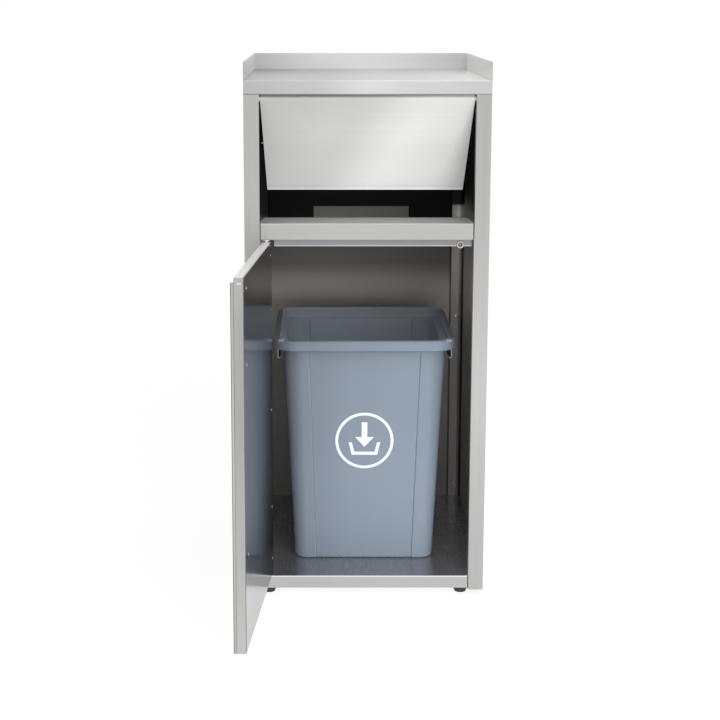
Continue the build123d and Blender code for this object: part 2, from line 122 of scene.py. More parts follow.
class Pen:
    """Draws one material's node tree."""

    def __init__(self, name: str) -> None:
        """Start a material with a Principled shader on its output.

        Args:
            name: The material's name.
        """
        self.material = bpy.data.materials.new(name)
        self.material.use_nodes = True
        self.nodes = self.material.node_tree.nodes
        self.links = self.material.node_tree.links
        self.nodes.clear()
        self.shader = self.add("ShaderNodeBsdfPrincipled")
        self.output = self.add("ShaderNodeOutputMaterial")
        self.join(self.shader.outputs["BSDF"], self.output.inputs["Surface"])

    def add(self, kind: str) -> bpy.types.Node:
        """Add one node of a kind."""
        return self.nodes.new(kind)

    def join(self, start: bpy.types.NodeSocket, end: bpy.types.NodeSocket) -> None:
        """Link two sockets."""
        self.links.new(start, end)

    def set(self, **values: float | tuple) -> None:
        """Set constants on the shader's own sockets.

        Args:
            **values: Socket names in lower case with underscores, and their values.
        """
        for key, value in values.items():
            self.shader.inputs[key.replace("_", " ").title().replace("Ior", "IOR")].default_value = value

    def noise(
        self, scale: Sequence[float], detail: float = 2.0, roughness: float = 0.5
    ) -> bpy.types.NodeSocket:
        """A noise value over the object.

        Args:
            scale: Features per metre along each axis.
            detail: Octaves.
            roughness: Strength of the finer octaves.

        Returns:
            The value socket, about 0 to 1.
        """
        where = self.add("ShaderNodeTexCoord")
        mapping = self.add("ShaderNodeMapping")
        mapping.inputs["Scale"].default_value = scale
        node = self.add("ShaderNodeTexNoise")
        node.inputs["Scale"].default_value = 1.0
        node.inputs["Detail"].default_value = detail
        node.inputs["Roughness"].default_value = roughness
        self.join(where.outputs["Object"], mapping.inputs["Vector"])
        self.join(mapping.outputs["Vector"], node.inputs["Vector"])
        return node.outputs["Fac"]

    def remap(self, value: bpy.types.NodeSocket, low: float, high: float) -> bpy.types.NodeSocket:
        """Stretch 0 to 1 onto low to high."""
        node = self.add("ShaderNodeMapRange")
        node.inputs["To Min"].default_value = low
        node.inputs["To Max"].default_value = high
        self.join(value, node.inputs["Value"])
        return node.outputs["Result"]

    def combine(
        self, kind: str, first: bpy.types.NodeSocket, second: bpy.types.NodeSocket
    ) -> bpy.types.NodeSocket:
        """Join two values by a Math operation such as MULTIPLY or ADD."""
        node = self.add("ShaderNodeMath")
        node.operation = kind
        self.join(first, node.inputs[0])
        self.join(second, node.inputs[1])
        return node.outputs[0]

    def sweep(self, sweep: "Sweep") -> bpy.types.NodeSocket:
        """The painted light and shade of a sweep over the object.

        Args:
            sweep: Where it runs and through which brightnesses.

        Returns:
            The brightness socket, smooth between its stops and steady past its ends.
        """
        where = self.add("ShaderNodeTexCoord")
        less = self.add("ShaderNodeVectorMath")
        less.operation = "SUBTRACT"
        less.inputs[1].default_value = sweep.start
        dot = self.add("ShaderNodeVectorMath")
        dot.operation = "DOT_PRODUCT"
        way = Vector(sweep.end) - Vector(sweep.start)
        dot.inputs[1].default_value = way / way.length_squared
        clamp = self.add("ShaderNodeClamp")
        ramp = self.add("ShaderNodeValToRGB")
        ramp.color_ramp.interpolation = "EASE"
        points = ramp.color_ramp.elements
        while len(points) < len(sweep.stops):
            points.new(0.5)
        for point, (position, brightness) in zip(points, sweep.stops):
            point.position = position
            point.color = (brightness, brightness, brightness, 1.0)
        self.join(where.outputs["Object"], less.inputs[0])
        self.join(less.outputs[0], dot.inputs[0])
        self.join(dot.outputs["Value"], clamp.inputs["Value"])
        self.join(clamp.outputs["Result"], ramp.inputs["Fac"])
        return ramp.outputs["Color"]

    def tint(self, colour: Colour, strength: bpy.types.NodeSocket) -> None:
        """Colour the shader's base by a colour times a strength.

        Args:
            colour: The base colour.
            strength: A socket about 1.
        """
        node = self.add("ShaderNodeVectorMath")
        node.operation = "SCALE"
        node.inputs[0].default_value = colour
        self.join(strength, node.inputs["Scale"])
        self.join(node.outputs[0], self.shader.inputs["Base Color"])

    def bump(self, height: bpy.types.NodeSocket, strength: float, distance: float) -> None:
        """Raise the surface by a height field.

        Args:
            height: The height socket.
            strength: How much of the bump shows.
            distance: Depth in metres.
        """
        node = self.add("ShaderNodeBump")
        node.inputs["Strength"].default_value = strength
        node.inputs["Distance"].default_value = distance
        self.join(height, node.inputs["Height"])
        self.join(node.outputs["Normal"], self.shader.inputs["Normal"])


@dataclass(frozen=True)
class Sweep:
    """A slow change of painted light and shade across a sheet, set by place on the object: painted
    highlights, painted shade and painted reflection.
    """

    start: Place | Vector
    end: Place | Vector
    stops: tuple[Pair, ...]


@dataclass(frozen=True)
class BrushedSteel:
    """Stainless sheet with fine straight brushing, over which bands of painted light and shade and added
    areas of painted light are laid.
    """

    name: str
    colour: Colour = (0.66, 0.66, 0.65)
    roughness: float = 0.3
    grain: Grain = Grain.ALONG_X
    contrast: float = 0.07
    metallic: float = 1.0
    specular: float = 0.5
    scratch: float = 0.12
    # Painted light and shade: the sweeps brighten and darken bands, and each added pair of sweeps lays an
    # area of painted light.
    sweeps: tuple[Sweep, ...] = ()
    painted_patches: tuple[tuple[Sweep, Sweep], ...] = ()

    def make(self) -> bpy.types.Material:
        """Build the material.

        Returns:
            The finished material.
        """
        pen = Pen(self.name)
        fine = pen.noise(self.grain.value, 3.0, 0.7)
        broad = pen.noise([value * 0.13 for value in self.grain.value], 2.0)
        cloud = pen.noise((5.0, 5.0, 5.0), 2.0)
        grain_and_painted_light = pen.remap(fine, -self.contrast, self.contrast)
        grain_and_painted_light = pen.combine("ADD", grain_and_painted_light, pen.remap(broad, 0.96, 1.04))
        grain_and_painted_light = pen.combine("MULTIPLY", grain_and_painted_light, pen.remap(cloud, 0.97, 1.03))
        # The brushing is multiplied by painted light and shade from the sweeps, then areas of painted light
        # are added.
        for sweep in self.sweeps:
            grain_and_painted_light = pen.combine("MULTIPLY", grain_and_painted_light, pen.sweep(sweep))
        for across, up in self.painted_patches:
            grain_and_painted_light = pen.combine("ADD", grain_and_painted_light, pen.combine("MULTIPLY", pen.sweep(across), pen.sweep(up)))
        pen.tint(self.colour, grain_and_painted_light)
        soft = pen.remap(cloud, self.roughness - 0.03, self.roughness + 0.03)
        gloss = pen.combine("ADD", pen.remap(fine, -0.05, 0.05), soft)
        pen.join(gloss, pen.shader.inputs["Roughness"])
        pen.set(metallic=self.metallic, specular_ior_level=self.specular)
        pen.bump(fine, self.scratch, 0.00005)
        return pen.material


@dataclass(frozen=True)
class MouldedPlastic:
    """Moulded polyethylene with a faint skin texture, and painted shade from its sweeps."""

    name: str
    colour: Colour
    roughness: float = 0.42
    sweeps: tuple[Sweep, ...] = ()
    texture: float = 0.00006

    def make(self) -> bpy.types.Material:
        """Build the material.

        Returns:
            The finished material.
        """
        pen = Pen(self.name)
        skin = pen.noise((420.0, 420.0, 420.0), 3.0, 0.6)
        flow = pen.noise((7.0, 7.0, 2.5), 2.0)
        tone_and_painted_light = pen.combine("MULTIPLY", pen.remap(flow, 0.96, 1.04), pen.remap(skin, 0.98, 1.02))
        # The sweeps multiply painted shade into the plastic's colour.
        for sweep in self.sweeps:
            tone_and_painted_light = pen.combine("MULTIPLY", tone_and_painted_light, pen.sweep(sweep))
        pen.tint(self.colour, tone_and_painted_light)
        rough = pen.remap(skin, self.roughness - 0.06, self.roughness + 0.06)
        pen.join(rough, pen.shader.inputs["Roughness"])
        pen.set(specular_ior_level=0.5)
        pen.bump(skin, 0.35, self.texture)
        return pen.material


@dataclass(frozen=True)
class Rubber:
    """Matte black rubber with a slight dusty bloom."""

    name: str
    colour: Colour = (0.028, 0.028, 0.03)

    def make(self) -> bpy.types.Material:
        """Build the material.

        Returns:
            The finished material.
        """
        pen = Pen(self.name)
        grit = pen.noise((900.0, 900.0, 900.0), 3.0)
        bloom = pen.noise((60.0, 60.0, 60.0), 3.0)
        pen.tint(self.colour, pen.remap(bloom, 0.7, 1.7))
        pen.join(pen.remap(grit, 0.55, 0.75), pen.shader.inputs["Roughness"])
        pen.bump(grit, 0.3, 0.0001)
        return pen.material


class Finishes:
    """Every finish of the cabinet, each made once when it is first asked for."""

    def __init__(self) -> None:
        """Start with none made."""
        self.made: dict[str, bpy.types.Material] = {}

    def get(self, finish: BrushedSteel | MouldedPlastic | Rubber) -> bpy.types.Material:
        """The material of a finish.

        Args:
            finish: The finish's recipe.

        Returns:
            Its material.
        """
        if finish.name not in self.made:
            self.made[finish.name] = finish.make()
        return self.made[finish.name]


def sideways(left: float, right: float, *stops: Pair) -> Sweep:
    """A sweep from one x to another through position and brightness pairs."""
    return Sweep((left, 0.0, 0.0), (right, 0.0, 0.0), stops)


def backwards(front: float, back: float, *stops: Pair) -> Sweep:
    """A sweep from one y to another through position and brightness pairs."""
    return Sweep((0.0, front, 0.0), (0.0, back, 0.0), stops)


def upwards(low: float, high: float, *stops: Pair) -> Sweep:
    """A sweep from one z to another through position and brightness pairs."""
    return Sweep((0.0, 0.0, low), (0.0, 0.0, high), stops)


def both_sides(start: float, end: float, *stops: Pair) -> tuple[Sweep, Sweep]:
    """The same sweep on the right and, mirrored, on the left."""
    return sideways(start, end, *stops), sideways(-start, -end, *stops)


# Painted shade at an edge where a gap between parts falls dark.
GAP_SHADE = ((0.0, 0.12), (0.5, 0.16), (0.75, 1.0))
# Painted shade along the tray's seams with the rail.
TRAY_SEAM_SHADE = ((0.0, 1.0), (0.4, 0.5), (1.0, 0.35))
# Painted shade in the back wall's corners.
WALL_CORNER_SHADE = ((0.0, 1.0), (0.5, 0.45), (1.0, 0.3))
INSIDE_LOW, INSIDE_HIGH = 0.04, 0.84
GAP_WIDTH = 0.003

POST_STEEL = BrushedSteel("post_steel", (0.495, 0.495, 0.487), grain=Grain.ALONG_Z)
PANEL_STEEL = BrushedSteel("panel_steel", (0.5, 0.5, 0.49), 0.32, Grain.ALONG_Z)
RAIL_STEEL = BrushedSteel("rail_steel", (0.51, 0.51, 0.505))
# Painted highlight along the rail front's top bend, painted shade along its bottom edge, and painted shade at
# both ends beside the door opening.
RAIL_FRONT = BrushedSteel(
    "rail_front",
    (0.515, 0.515, 0.51),
    sweeps=(
        upwards(0.7932, 0.796, (0.0, 1.0), (0.35, 1.2), (1.0, 1.3)),
        upwards(0.7614, 0.7634, (0.0, 0.6), (0.4, 0.8), (1.0, 1.0)),
        *both_sides(OPENING_HALF, OPENING_HALF - GAP_WIDTH, *GAP_SHADE),
    ),
)
RAIL_TOP = BrushedSteel("rail_top", (0.53, 0.53, 0.52), 0.4, metallic=0.25)
# Painted highlight along the strip's lower edge.
STRIP_STEEL = BrushedSteel(
    "strip_steel", (0.3, 0.3, 0.315), sweeps=(upwards(0.7455, 0.749, (0.0, 2.0), (0.5, 1.6), (1.0, 1.0)),)
)
# Painted highlight along the base front's top edge, and painted shade at its right end beside the opening.
BASE_FRONT = BrushedSteel(
    "base_front",
    (0.53, 0.53, 0.52),
    sweeps=(
        upwards(FLOOR_HEIGHT - 0.0035, FLOOR_HEIGHT, (0.0, 1.0), (0.35, 1.5), (1.0, 1.8)),
        sideways(OPENING_HALF, OPENING_HALF - GAP_WIDTH, *GAP_SHADE),
    ),
)
# Painted light and shade on the tray: darker at the left, brighter at the right, a painted highlight along
# the front edge with a line of painted shade behind it, and painted shade along the back and side seams.
TRAY_STEEL = BrushedSteel(
    "tray_steel",
    (0.66, 0.66, 0.655),
    0.26,
    metallic=0.6,
    sweeps=(
        sideways(-HALF_WIDTH, HALF_WIDTH, (0.0, 0.5), (0.3, 0.62), (0.6, 0.9), (1.0, 1.2)),
        backwards(FRONT, FRONT + 0.012, (0.0, 1.5), (0.24, 1.5), (0.3, 0.4), (0.48, 0.4), (0.56, 1.0)),
        backwards(BACK - 0.003, BACK - 0.0015, (0.0, 1.0), (0.5, 0.5), (1.0, 0.35)),
        *both_sides(HALF_WIDTH - 0.0045, HALF_WIDTH - 0.0015, *TRAY_SEAM_SHADE),
    ),
)
# Painted light on the fascia: darker at the left and brightest just right of the middle, painted shade along
# its lower edge, and a painted highlight along its top bend.
FASCIA_STEEL = BrushedSteel(
    "fascia_steel",
    (0.66, 0.66, 0.66),
    sweeps=(
        sideways(-HALF_WIDTH, HALF_WIDTH, (0.0, 0.78), (0.25, 0.88), (0.52, 1.12), (0.75, 1.02), (1.0, 0.95)),
        upwards(1.0565, 1.059, (0.0, 0.45), (0.4, 0.6), (1.0, 1.0)),
        upwards(TRAY_HEIGHT - 0.0028, TRAY_HEIGHT, (0.0, 1.0), (0.4, 1.15), (1.0, 1.25)),
    ),
)
# Lit copies of one steel: the rail's inner faces are paler than the outer faces, and the back's inner face is
# near white and partly diffuse, painted light.
GALLERY_STEEL = BrushedSteel("gallery_steel", (0.8, 0.8, 0.79))
GALLERY_BACK = BrushedSteel("gallery_back", (0.99, 0.99, 0.99), 0.5, contrast=0.02, metallic=0.4)
GALLERY_OUTSIDE = BrushedSteel("gallery_outside", (0.56, 0.56, 0.55), 0.32)
# Painted light on the flap: a diagonal band of painted highlight, brighter towards the bottom and darker
# towards the top, and a painted highlight along the lower edge.
FLAP_STEEL = BrushedSteel(
    "flap_steel",
    (0.72, 0.72, 0.713),
    0.35,
    contrast=0.03,
    metallic=0.06,
    sweeps=(
        Sweep(
            (-0.2, 0.0, 1.04),
            (0.2, 0.0, 0.82),
            ((0.0, 0.74), (0.35, 0.8), (0.62, 1.05), (0.8, 0.98), (1.0, 0.86)),
        ),
        upwards(0.86, 1.05, (0.0, 1.12), (0.5, 0.98), (1.0, 0.84)),
        upwards(0.848, 0.853, (0.0, 1.25), (0.6, 1.2), (1.0, 1.0)),
    ),
)
# A shaded copy of the steel for the back's inner face, darker than the panel: brightest a little above the
# middle, painted shade deepening to near black towards the top, painted shade in both corners, and an area of
# painted light under the flap.
BACK_WALL = BrushedSteel(
    "back_wall",
    (0.31, 0.295, 0.28),
    0.45,
    metallic=0.45,
    specular=0.1,
    sweeps=(
        upwards(
            INSIDE_LOW,
            INSIDE_HIGH,
            *((0.0, 0.95), (0.35, 1.12), (0.64, 1.6), (0.74, 0.45), (0.83, 0.28), (0.875, 0.02)),
        ),
        *both_sides(BACK_WALL_HALF - 0.0048, BACK_WALL_HALF, *WALL_CORNER_SHADE),
    ),
    painted_patches=(
        (
            sideways(-0.13, 0.13, (0.07, 0.0), (0.08, 1.0), (0.94, 0.9), (0.95, 0.0)),
            upwards(0.66, 0.77, (0.1, 0.0), (0.4, 0.55), (0.9, 0.48), (0.93, 0.0)),
        ),
    ),
)
# A lit copy of the steel for the side panels' inner faces, paler and warmer than the panels: darker near the
# floor, brightest about two thirds up, and painted shade near the top.
SIDE_WALL = BrushedSteel(
    "side_wall",
    (0.82, 0.78, 0.76),
    0.45,
    Grain.ALONG_Z,
    metallic=0.35,
    specular=0.2,
    sweeps=(
        upwards(INSIDE_LOW, INSIDE_HIGH, (0.0, 0.75), (0.4, 0.95), (0.7, 1.1), (0.88, 0.8), (0.96, 0.12)),
    ),
)
# A shaded copy of the steel for the rear flanges: painted shade near the top, painted shade along the right
# flange's outer fold, and an area of painted light on the right flange.
FLANGE_STEEL = BrushedSteel(
    "flange_steel",
    (0.45, 0.43, 0.415),
    0.4,
    Grain.ALONG_Z,
    metallic=0.45,
    specular=0.2,
    sweeps=(
        upwards(INSIDE_LOW, INSIDE_HIGH, (0.0, 0.85), (0.4, 0.85), (0.7, 1.1), (0.82, 0.8), (0.88, 0.03)),
        sideways(0.243, SIDE_INSIDE, (0.0, 1.0), (0.4, 0.3), (1.0, 0.2)),
    ),
    painted_patches=(
        (
            sideways(0.215, HALF_WIDTH, (0.0, 0.0), (0.05, 0.9), (1.0, 2.1)),
            upwards(0.7, 0.77, (0.3, 0.0), (0.6, 1.0), (0.85, 0.8), (0.97, 0.0)),
        ),
    ),
)
# Painted light on the floor pan: darker in the middle than at the sides, brightest at the right.
FLOOR_STEEL = BrushedSteel(
    "floor_steel",
    (0.53, 0.53, 0.56),
    0.28,
    Grain.ALONG_Y,
    contrast=0.012,
    metallic=0.8,
    scratch=0.02,
    sweeps=(sideways(-0.22, 0.22, (0.0, 1.0), (0.2, 0.8), (0.8, 0.8), (1.0, 1.2)),),
)
# Painted reflection up the door's lining: darkest at the bottom, lighter bands above, and brightest at the
# top.
MIRROR_STEEL = BrushedSteel(
    "mirror_steel",
    (0.38, 0.375, 0.39),
    0.16,
    Grain.ALONG_Z,
    contrast=0.02,
    sweeps=(
        upwards(0.03, 0.75, (0.0, 0.62), (0.2, 0.88), (0.4, 1.04), (0.6, 0.88), (0.75, 0.94), (1.0, 1.35)),
    ),
)
# Painted light on the door's outer pan: brighter at the bottom and the top than in the middle.
DOOR_STEEL = BrushedSteel(
    "door_steel",
    (0.4, 0.39, 0.38),
    grain=Grain.ALONG_Z,
    contrast=0.1,
    sweeps=(upwards(0.04, 0.76, (0.0, 1.35), (0.35, 1.1), (0.6, 0.98), (0.85, 1.05), (1.0, 1.2)),),
)
# Painted shade on the outer part of the pull's edge, with a painted highlight just inside it.
PULL_STEEL = BrushedSteel(
    "pull_steel",
    (0.46, 0.455, 0.445),
    grain=Grain.ALONG_Z,
    sweeps=(
        Sweep(
            on_door(0.42, -0.014), on_door(0.42, -0.011), ((0.0, 0.3), (0.35, 0.35), (0.6, 1.15), (1.0, 1.0))
        ),
    ),
)
KEEPER_STEEL = BrushedSteel("keeper_steel", (0.62, 0.54, 0.45), metallic=0.5)
# A lit copy of the door steel for its top fold: near white and almost diffuse, painted light.
DOOR_TOP = BrushedSteel("door_top", (0.99, 0.97, 0.95), grain=Grain.ALONG_Y, metallic=0.05)
BRIGHT_STEEL = BrushedSteel("bright_steel", (0.72, 0.72, 0.71), 0.18, contrast=0.02)
MAGNET_STEEL = BrushedSteel("magnet_steel", (0.5, 0.48, 0.43), 0.22, contrast=0.02)
NYLON = MouldedPlastic("white_nylon", (0.75, 0.75, 0.72), 0.35)
# Painted shade on the bin: darker towards the left and towards the top.
BIN_PLASTIC = MouldedPlastic(
    "bin_plastic",
    (0.236, 0.28, 0.345),
    0.36,
    sweeps=(
        sideways(-0.2, 0.1, (0.0, 0.68), (0.3, 0.82), (0.6, 0.95), (1.0, 1.0)),
        upwards(0.54, 0.2, (0.0, 0.84), (0.4, 0.92), (1.0, 1.03)),
    ),
)
# A lit copy of the bin's plastic for its inner faces: paler than the outside, painted light.
BIN_INSIDE = MouldedPlastic("bin_inside", (0.45, 0.5, 0.57), 0.36)
MARK_INK = MouldedPlastic("mark_ink", (0.8, 0.9, 0.97), 0.5, texture=0.00002)
FOOT_RUBBER = Rubber("foot_rubber")


def show(bm: bmesh.types.BMesh, name: str, materials: Sequence[bpy.types.Material]) -> bpy.types.Object:
    """Turn a bmesh into an object in the scene, at the origin.

    Args:
        bm: The shape, which is freed.
        name: The piece's name.
        materials: Its material slots in order.

    Returns:
        The new object.
    """
    mesh = bpy.data.meshes.new(name)
    bm.to_mesh(mesh)
    bm.free()
    for material in materials:
        mesh.materials.append(material)
    piece = bpy.data.objects.new(name, mesh)
    bpy.context.scene.collection.objects.link(piece)
    return piece


def settle(piece: bpy.types.Object) -> bpy.types.Object:
    """Apply a piece's modifiers so that its mesh is plain.

    Args:
        piece: The object with live modifiers.

    Returns:
        The same object with the result as its mesh.
    """
    graph = bpy.context.evaluated_depsgraph_get()
    mesh = bpy.data.meshes.new_from_object(piece.evaluated_get(graph))
    piece.modifiers.clear()
    piece.data = mesh
    return piece


def even_normals(piece: bpy.types.Object) -> bpy.types.Object:
    """Shade a piece so that its flat faces stay flat and only its rounded edges turn.

    Args:
        piece: The object to shade.

    Returns:
        The same object.
    """
    for face in piece.data.polygons:
        face.use_smooth = True
    weigh = piece.modifiers.new("even", "WEIGHTED_NORMAL")
    weigh.mode = "FACE_AREA"
    weigh.weight = 100
    weigh.keep_sharp = True
    return settle(piece)


def fasten(piece: bpy.types.Object, body: Body, slot: str, *nodes: str) -> None:
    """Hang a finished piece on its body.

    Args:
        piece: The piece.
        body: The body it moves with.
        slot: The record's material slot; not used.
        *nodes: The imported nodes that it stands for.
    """
    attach(piece, body.value)
    if nodes:
        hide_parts(*nodes)
    LOG.info("%s rides on %s with %d faces", piece.name, body.value, len(piece.data.polygons))


class SheetShop:
    """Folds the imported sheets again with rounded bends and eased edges."""

    SAME_PLACE = 2e-6
    FLAT = math.radians(0.4)
    SHARP = math.radians(60)
    SHORT = 0.008
    FOLD_WIDTH = 0.0045
    CUT_WIDTH = 0.0007
    SHEET_WIDTH = 0.003
    CUT_EASE = 0.00025

    def __init__(self, frame: dict, finishes: Finishes) -> None:
        """Keep the frame and the finishes.

        Args:
            finishes: The shared finishes.
        """
        self.frame = frame
        self.finishes = finishes

    def hang(
        self,
        node: str,
        name: str,
        body: Body,
        finishes: Sequence[BrushedSteel],
        rule: FaceRule | None = None,
        slot: str = "cabinet_steel",
        bend: float = 0.0016,
    ) -> None:
        """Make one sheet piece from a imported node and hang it.

        Args:
            node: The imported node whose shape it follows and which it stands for.
            name: The piece's name.
            body: The body it moves with.
            finishes: The finishes of its faces.
            rule: Picks a finish's index from a face's middle and normal.
            slot: The record's material slot.
            bend: Outer radius of a fold.
        """
        bm = bmesh.new()
        bm.from_mesh(self.frame["nodes"][node].data)
        bmesh.ops.remove_doubles(bm, verts=bm.verts, dist=self.SAME_PLACE)
        bmesh.ops.dissolve_limit(bm, angle_limit=self.FLAT, verts=bm.verts, edges=bm.edges)
        self.round(bm, bend, 3, lambda widths: min(widths) > self.FOLD_WIDTH)
        self.round(bm, self.CUT_EASE, 1, self.is_cut)
        for face in bm.faces:
            face.material_index = rule(face.calc_center_median(), face.normal) if rule else 0
        piece = even_normals(show(bm, name, [self.finishes.get(finish) for finish in finishes]))
        fasten(piece, body, slot, node)

    def is_cut(self, widths: list[float]) -> bool:
        """Whether an edge between faces of these widths is a cut edge of a sheet."""
        return min(widths) > self.CUT_WIDTH and max(widths) > self.SHEET_WIDTH

    def round(
        self, bm: bmesh.types.BMesh, radius: float, steps: int, wanted: Callable[[list[float]], bool]
    ) -> None:
        """Round the straight convex edges whose two faces are wide enough.

        Args:
            bm: The sheet.
            radius: The rounding radius.
            steps: Segments across the rounding.
            wanted: Says from the widths of both faces whether an edge is rounded.
        """
        picked = []
        for edge in bm.edges:
            if len(edge.link_faces) != 2 or not edge.is_convex or edge.calc_length() < self.SHORT:
                continue
            if edge.calc_face_angle(0.0) < self.SHARP:
                continue
            widths = [face.calc_area() / max(e.calc_length() for e in face.edges) for face in edge.link_faces]
            if wanted(widths):
                picked.append(edge)
        if picked:
            how = {"offset_type": "OFFSET", "profile": 0.5, "affect": "EDGES", "clamp_overlap": True}
            bmesh.ops.bevel(bm, geom=picked, offset=radius, segments=steps, **how)


@dataclass
class Carcass:
    """The fixed sheets of the cabinet: sides, back, floor, rails and channels."""

    shop: SheetShop
    lip: float = 0.016
    flange_gap: float = 0.004
    floor_front: float = 0.003
    floor_sheet: float = 0.0004
    rail_front: float = 0.002

    def panel_face(self, middle: Vector, normal: Vector) -> int:
        """Finish of a side panel's face: 0 on the post, 1 outside, 2 inside, 3 on the rear flange; 2 and 3
        are copies of the steel with painted light and shade.
        """
        if middle.y < FRONT + self.lip and normal.x * middle.x > -0.1:
            return 0
        if middle.y > BACK - self.flange_gap and normal.y < -FACING:
            return 3
        return 2 if normal.x * middle.x < 0 and abs(normal.x) > FACING else 1

    def back_face(self, middle: Vector, normal: Vector) -> int:
        """Finish of a back panel's face: 1 inside, a darker copy of the steel with painted light and shade, 0
        elsewhere.
        """
        return int(normal.y < -FACING)

    def floor_face(self, middle: Vector, normal: Vector) -> int:
        """Finish of a floor face: 1 on the polished top, 2 in front, 0 elsewhere."""
        if middle.y < FRONT + self.floor_front and middle.z < FLOOR_HEIGHT:
            return 2
        return int(normal.z > UPWARD and middle.z > FLOOR_HEIGHT - self.floor_sheet)

    def rail_face(self, middle: Vector, normal: Vector) -> int:
        """Finish of a middle rail's face: 1 in front, 2 on top, 0 elsewhere."""
        if middle.y < FRONT + self.rail_front:
            return 1
        return 2 if normal.z > UPWARD else 0

    def build(self) -> None:
        """Build and hang every fixed sheet."""
        hang, body = self.shop.hang, Body.CABINET
        for side in ("left", "right"):
            coats = (POST_STEEL, PANEL_STEEL, SIDE_WALL, FLANGE_STEEL)
            hang(f"side_panel_{side}", f"side_panel_{side}_sheet", body, coats, self.panel_face)
        hang("back_panel", "back_panel_sheet", body, (PANEL_STEEL, BACK_WALL), self.back_face)
        hang("base_tray", "floor_pan", body, (RAIL_STEEL, FLOOR_STEEL, BASE_FRONT), self.floor_face)
        hang("middle_rail", "middle_rail_sheet", body, (RAIL_STEEL, RAIL_FRONT, RAIL_TOP), self.rail_face)
        hang("door_stop_strip", "door_stop_angle", body, (STRIP_STEEL,))
        hang("base_channels", "floor_channels", body, (PANEL_STEEL,), slot="inner_steel")


@dataclass
class TrayTop:
    """The tray, its fascia and the rail round three sides."""

    shop: SheetShop
    fascia_depth: float = 0.0013
    fascia_gap: float = 0.0002

    def tray_face(self, middle: Vector, normal: Vector) -> int:
        """Finish of a tray face: 1 on the fascia, 0 elsewhere."""
        return int(middle.y < FRONT + self.fascia_depth and middle.z < TRAY_HEIGHT - self.fascia_gap)

    def gallery_face(self, middle: Vector, normal: Vector) -> int:
        """Finish of a rail face: 1 on the back's inner face, 2 on the outer faces, 0 elsewhere; 0 and 1 are
        paler copies of the steel that carry painted light.
        """
        if normal.y < -FACING and middle.y > 0:
            return 1
        return 2 if normal.y > FACING or abs(normal.x) > FACING and normal.x * middle.x > 0 else 0

    def build(self) -> None:
        """Build and hang the tray and its rail."""
        hang, body = self.shop.hang, Body.CABINET
        hang("tray_top", "tray_sheet", body, (TRAY_STEEL, FASCIA_STEEL), self.tray_face)
        coats = (GALLERY_STEEL, GALLERY_BACK, GALLERY_OUTSIDE)
        hang("gallery_rail", "gallery_sheet", body, coats, self.gallery_face)


@dataclass
class PushFlap:
    """The flap's pan and its back skin."""

    shop: SheetShop
    bend: float = 0.0014

    def build(self) -> None:
        """Build and hang the flap."""
        self.shop.hang("flap_pan", "flap_face", Body.FLAP, (FLAP_STEEL,), bend=self.bend)
        self.shop.hang("flap_back_skin", "flap_lining", Body.FLAP, (PANEL_STEEL,), slot="inner_steel")


@dataclass
class SwingDoor:
    """The door: outer pan, bright inner skin, edge pull and the catch's keeper."""

    shop: SheetShop
    bend: float = 0.0012
    keeper_size: Place = (0.0008, 0.013, 0.009)
    keeper_place: Place = (0.42008, 0.0015, 0.745)

    def pan_face(self, middle: Vector, normal: Vector) -> int:
        """Finish of a door face: 1 on the top fold, a lit copy of the steel, 0 elsewhere."""
        return int(normal.z > UPWARD)

    def build(self) -> None:
        """Build and hang the door's sheets and its keeper."""
        hang, body = self.shop.hang, Body.DOOR
        hang("door_outer_pan", "door_pan", body, (DOOR_STEEL, DOOR_TOP), self.pan_face, bend=self.bend)
        hang("door_inner_skin", "door_lining", body, (MIRROR_STEEL,), slot="inner_steel")
        hang("door_pull", "door_edge_pull", body, (PULL_STEEL,))
        fasten(self.keeper(), body, "magnet_plate")

    def keeper(self) -> bpy.types.Object:
        """The plate behind the slot in the door's edge, which the catch holds.

        Returns:
            The plate.
        """
        place = Matrix.Translation(HINGE) @ Matrix.Rotation(DOOR_TURN, 4, "Z")
        bm = bmesh.new()
        corners = bmesh.ops.create_cube(bm, size=1.0)["verts"]
        bmesh.ops.scale(bm, vec=self.keeper_size, verts=corners)
        bmesh.ops.translate(bm, vec=self.keeper_place, verts=corners)
        bmesh.ops.transform(bm, matrix=place, verts=corners)
        return show(bm, "slot_keeper", [self.shop.finishes.get(KEEPER_STEEL)])


def quarter_turn(parts: int) -> list[Pair]:
    """What 1 - sine and 1 - cosine give for evenly spread angles from 0 to 90 degrees."""
    angles = [part / parts * math.pi / 2 for part in range(parts + 1)]
    return [(1 - math.sin(angle), 1 - math.cos(angle)) for angle in angles]


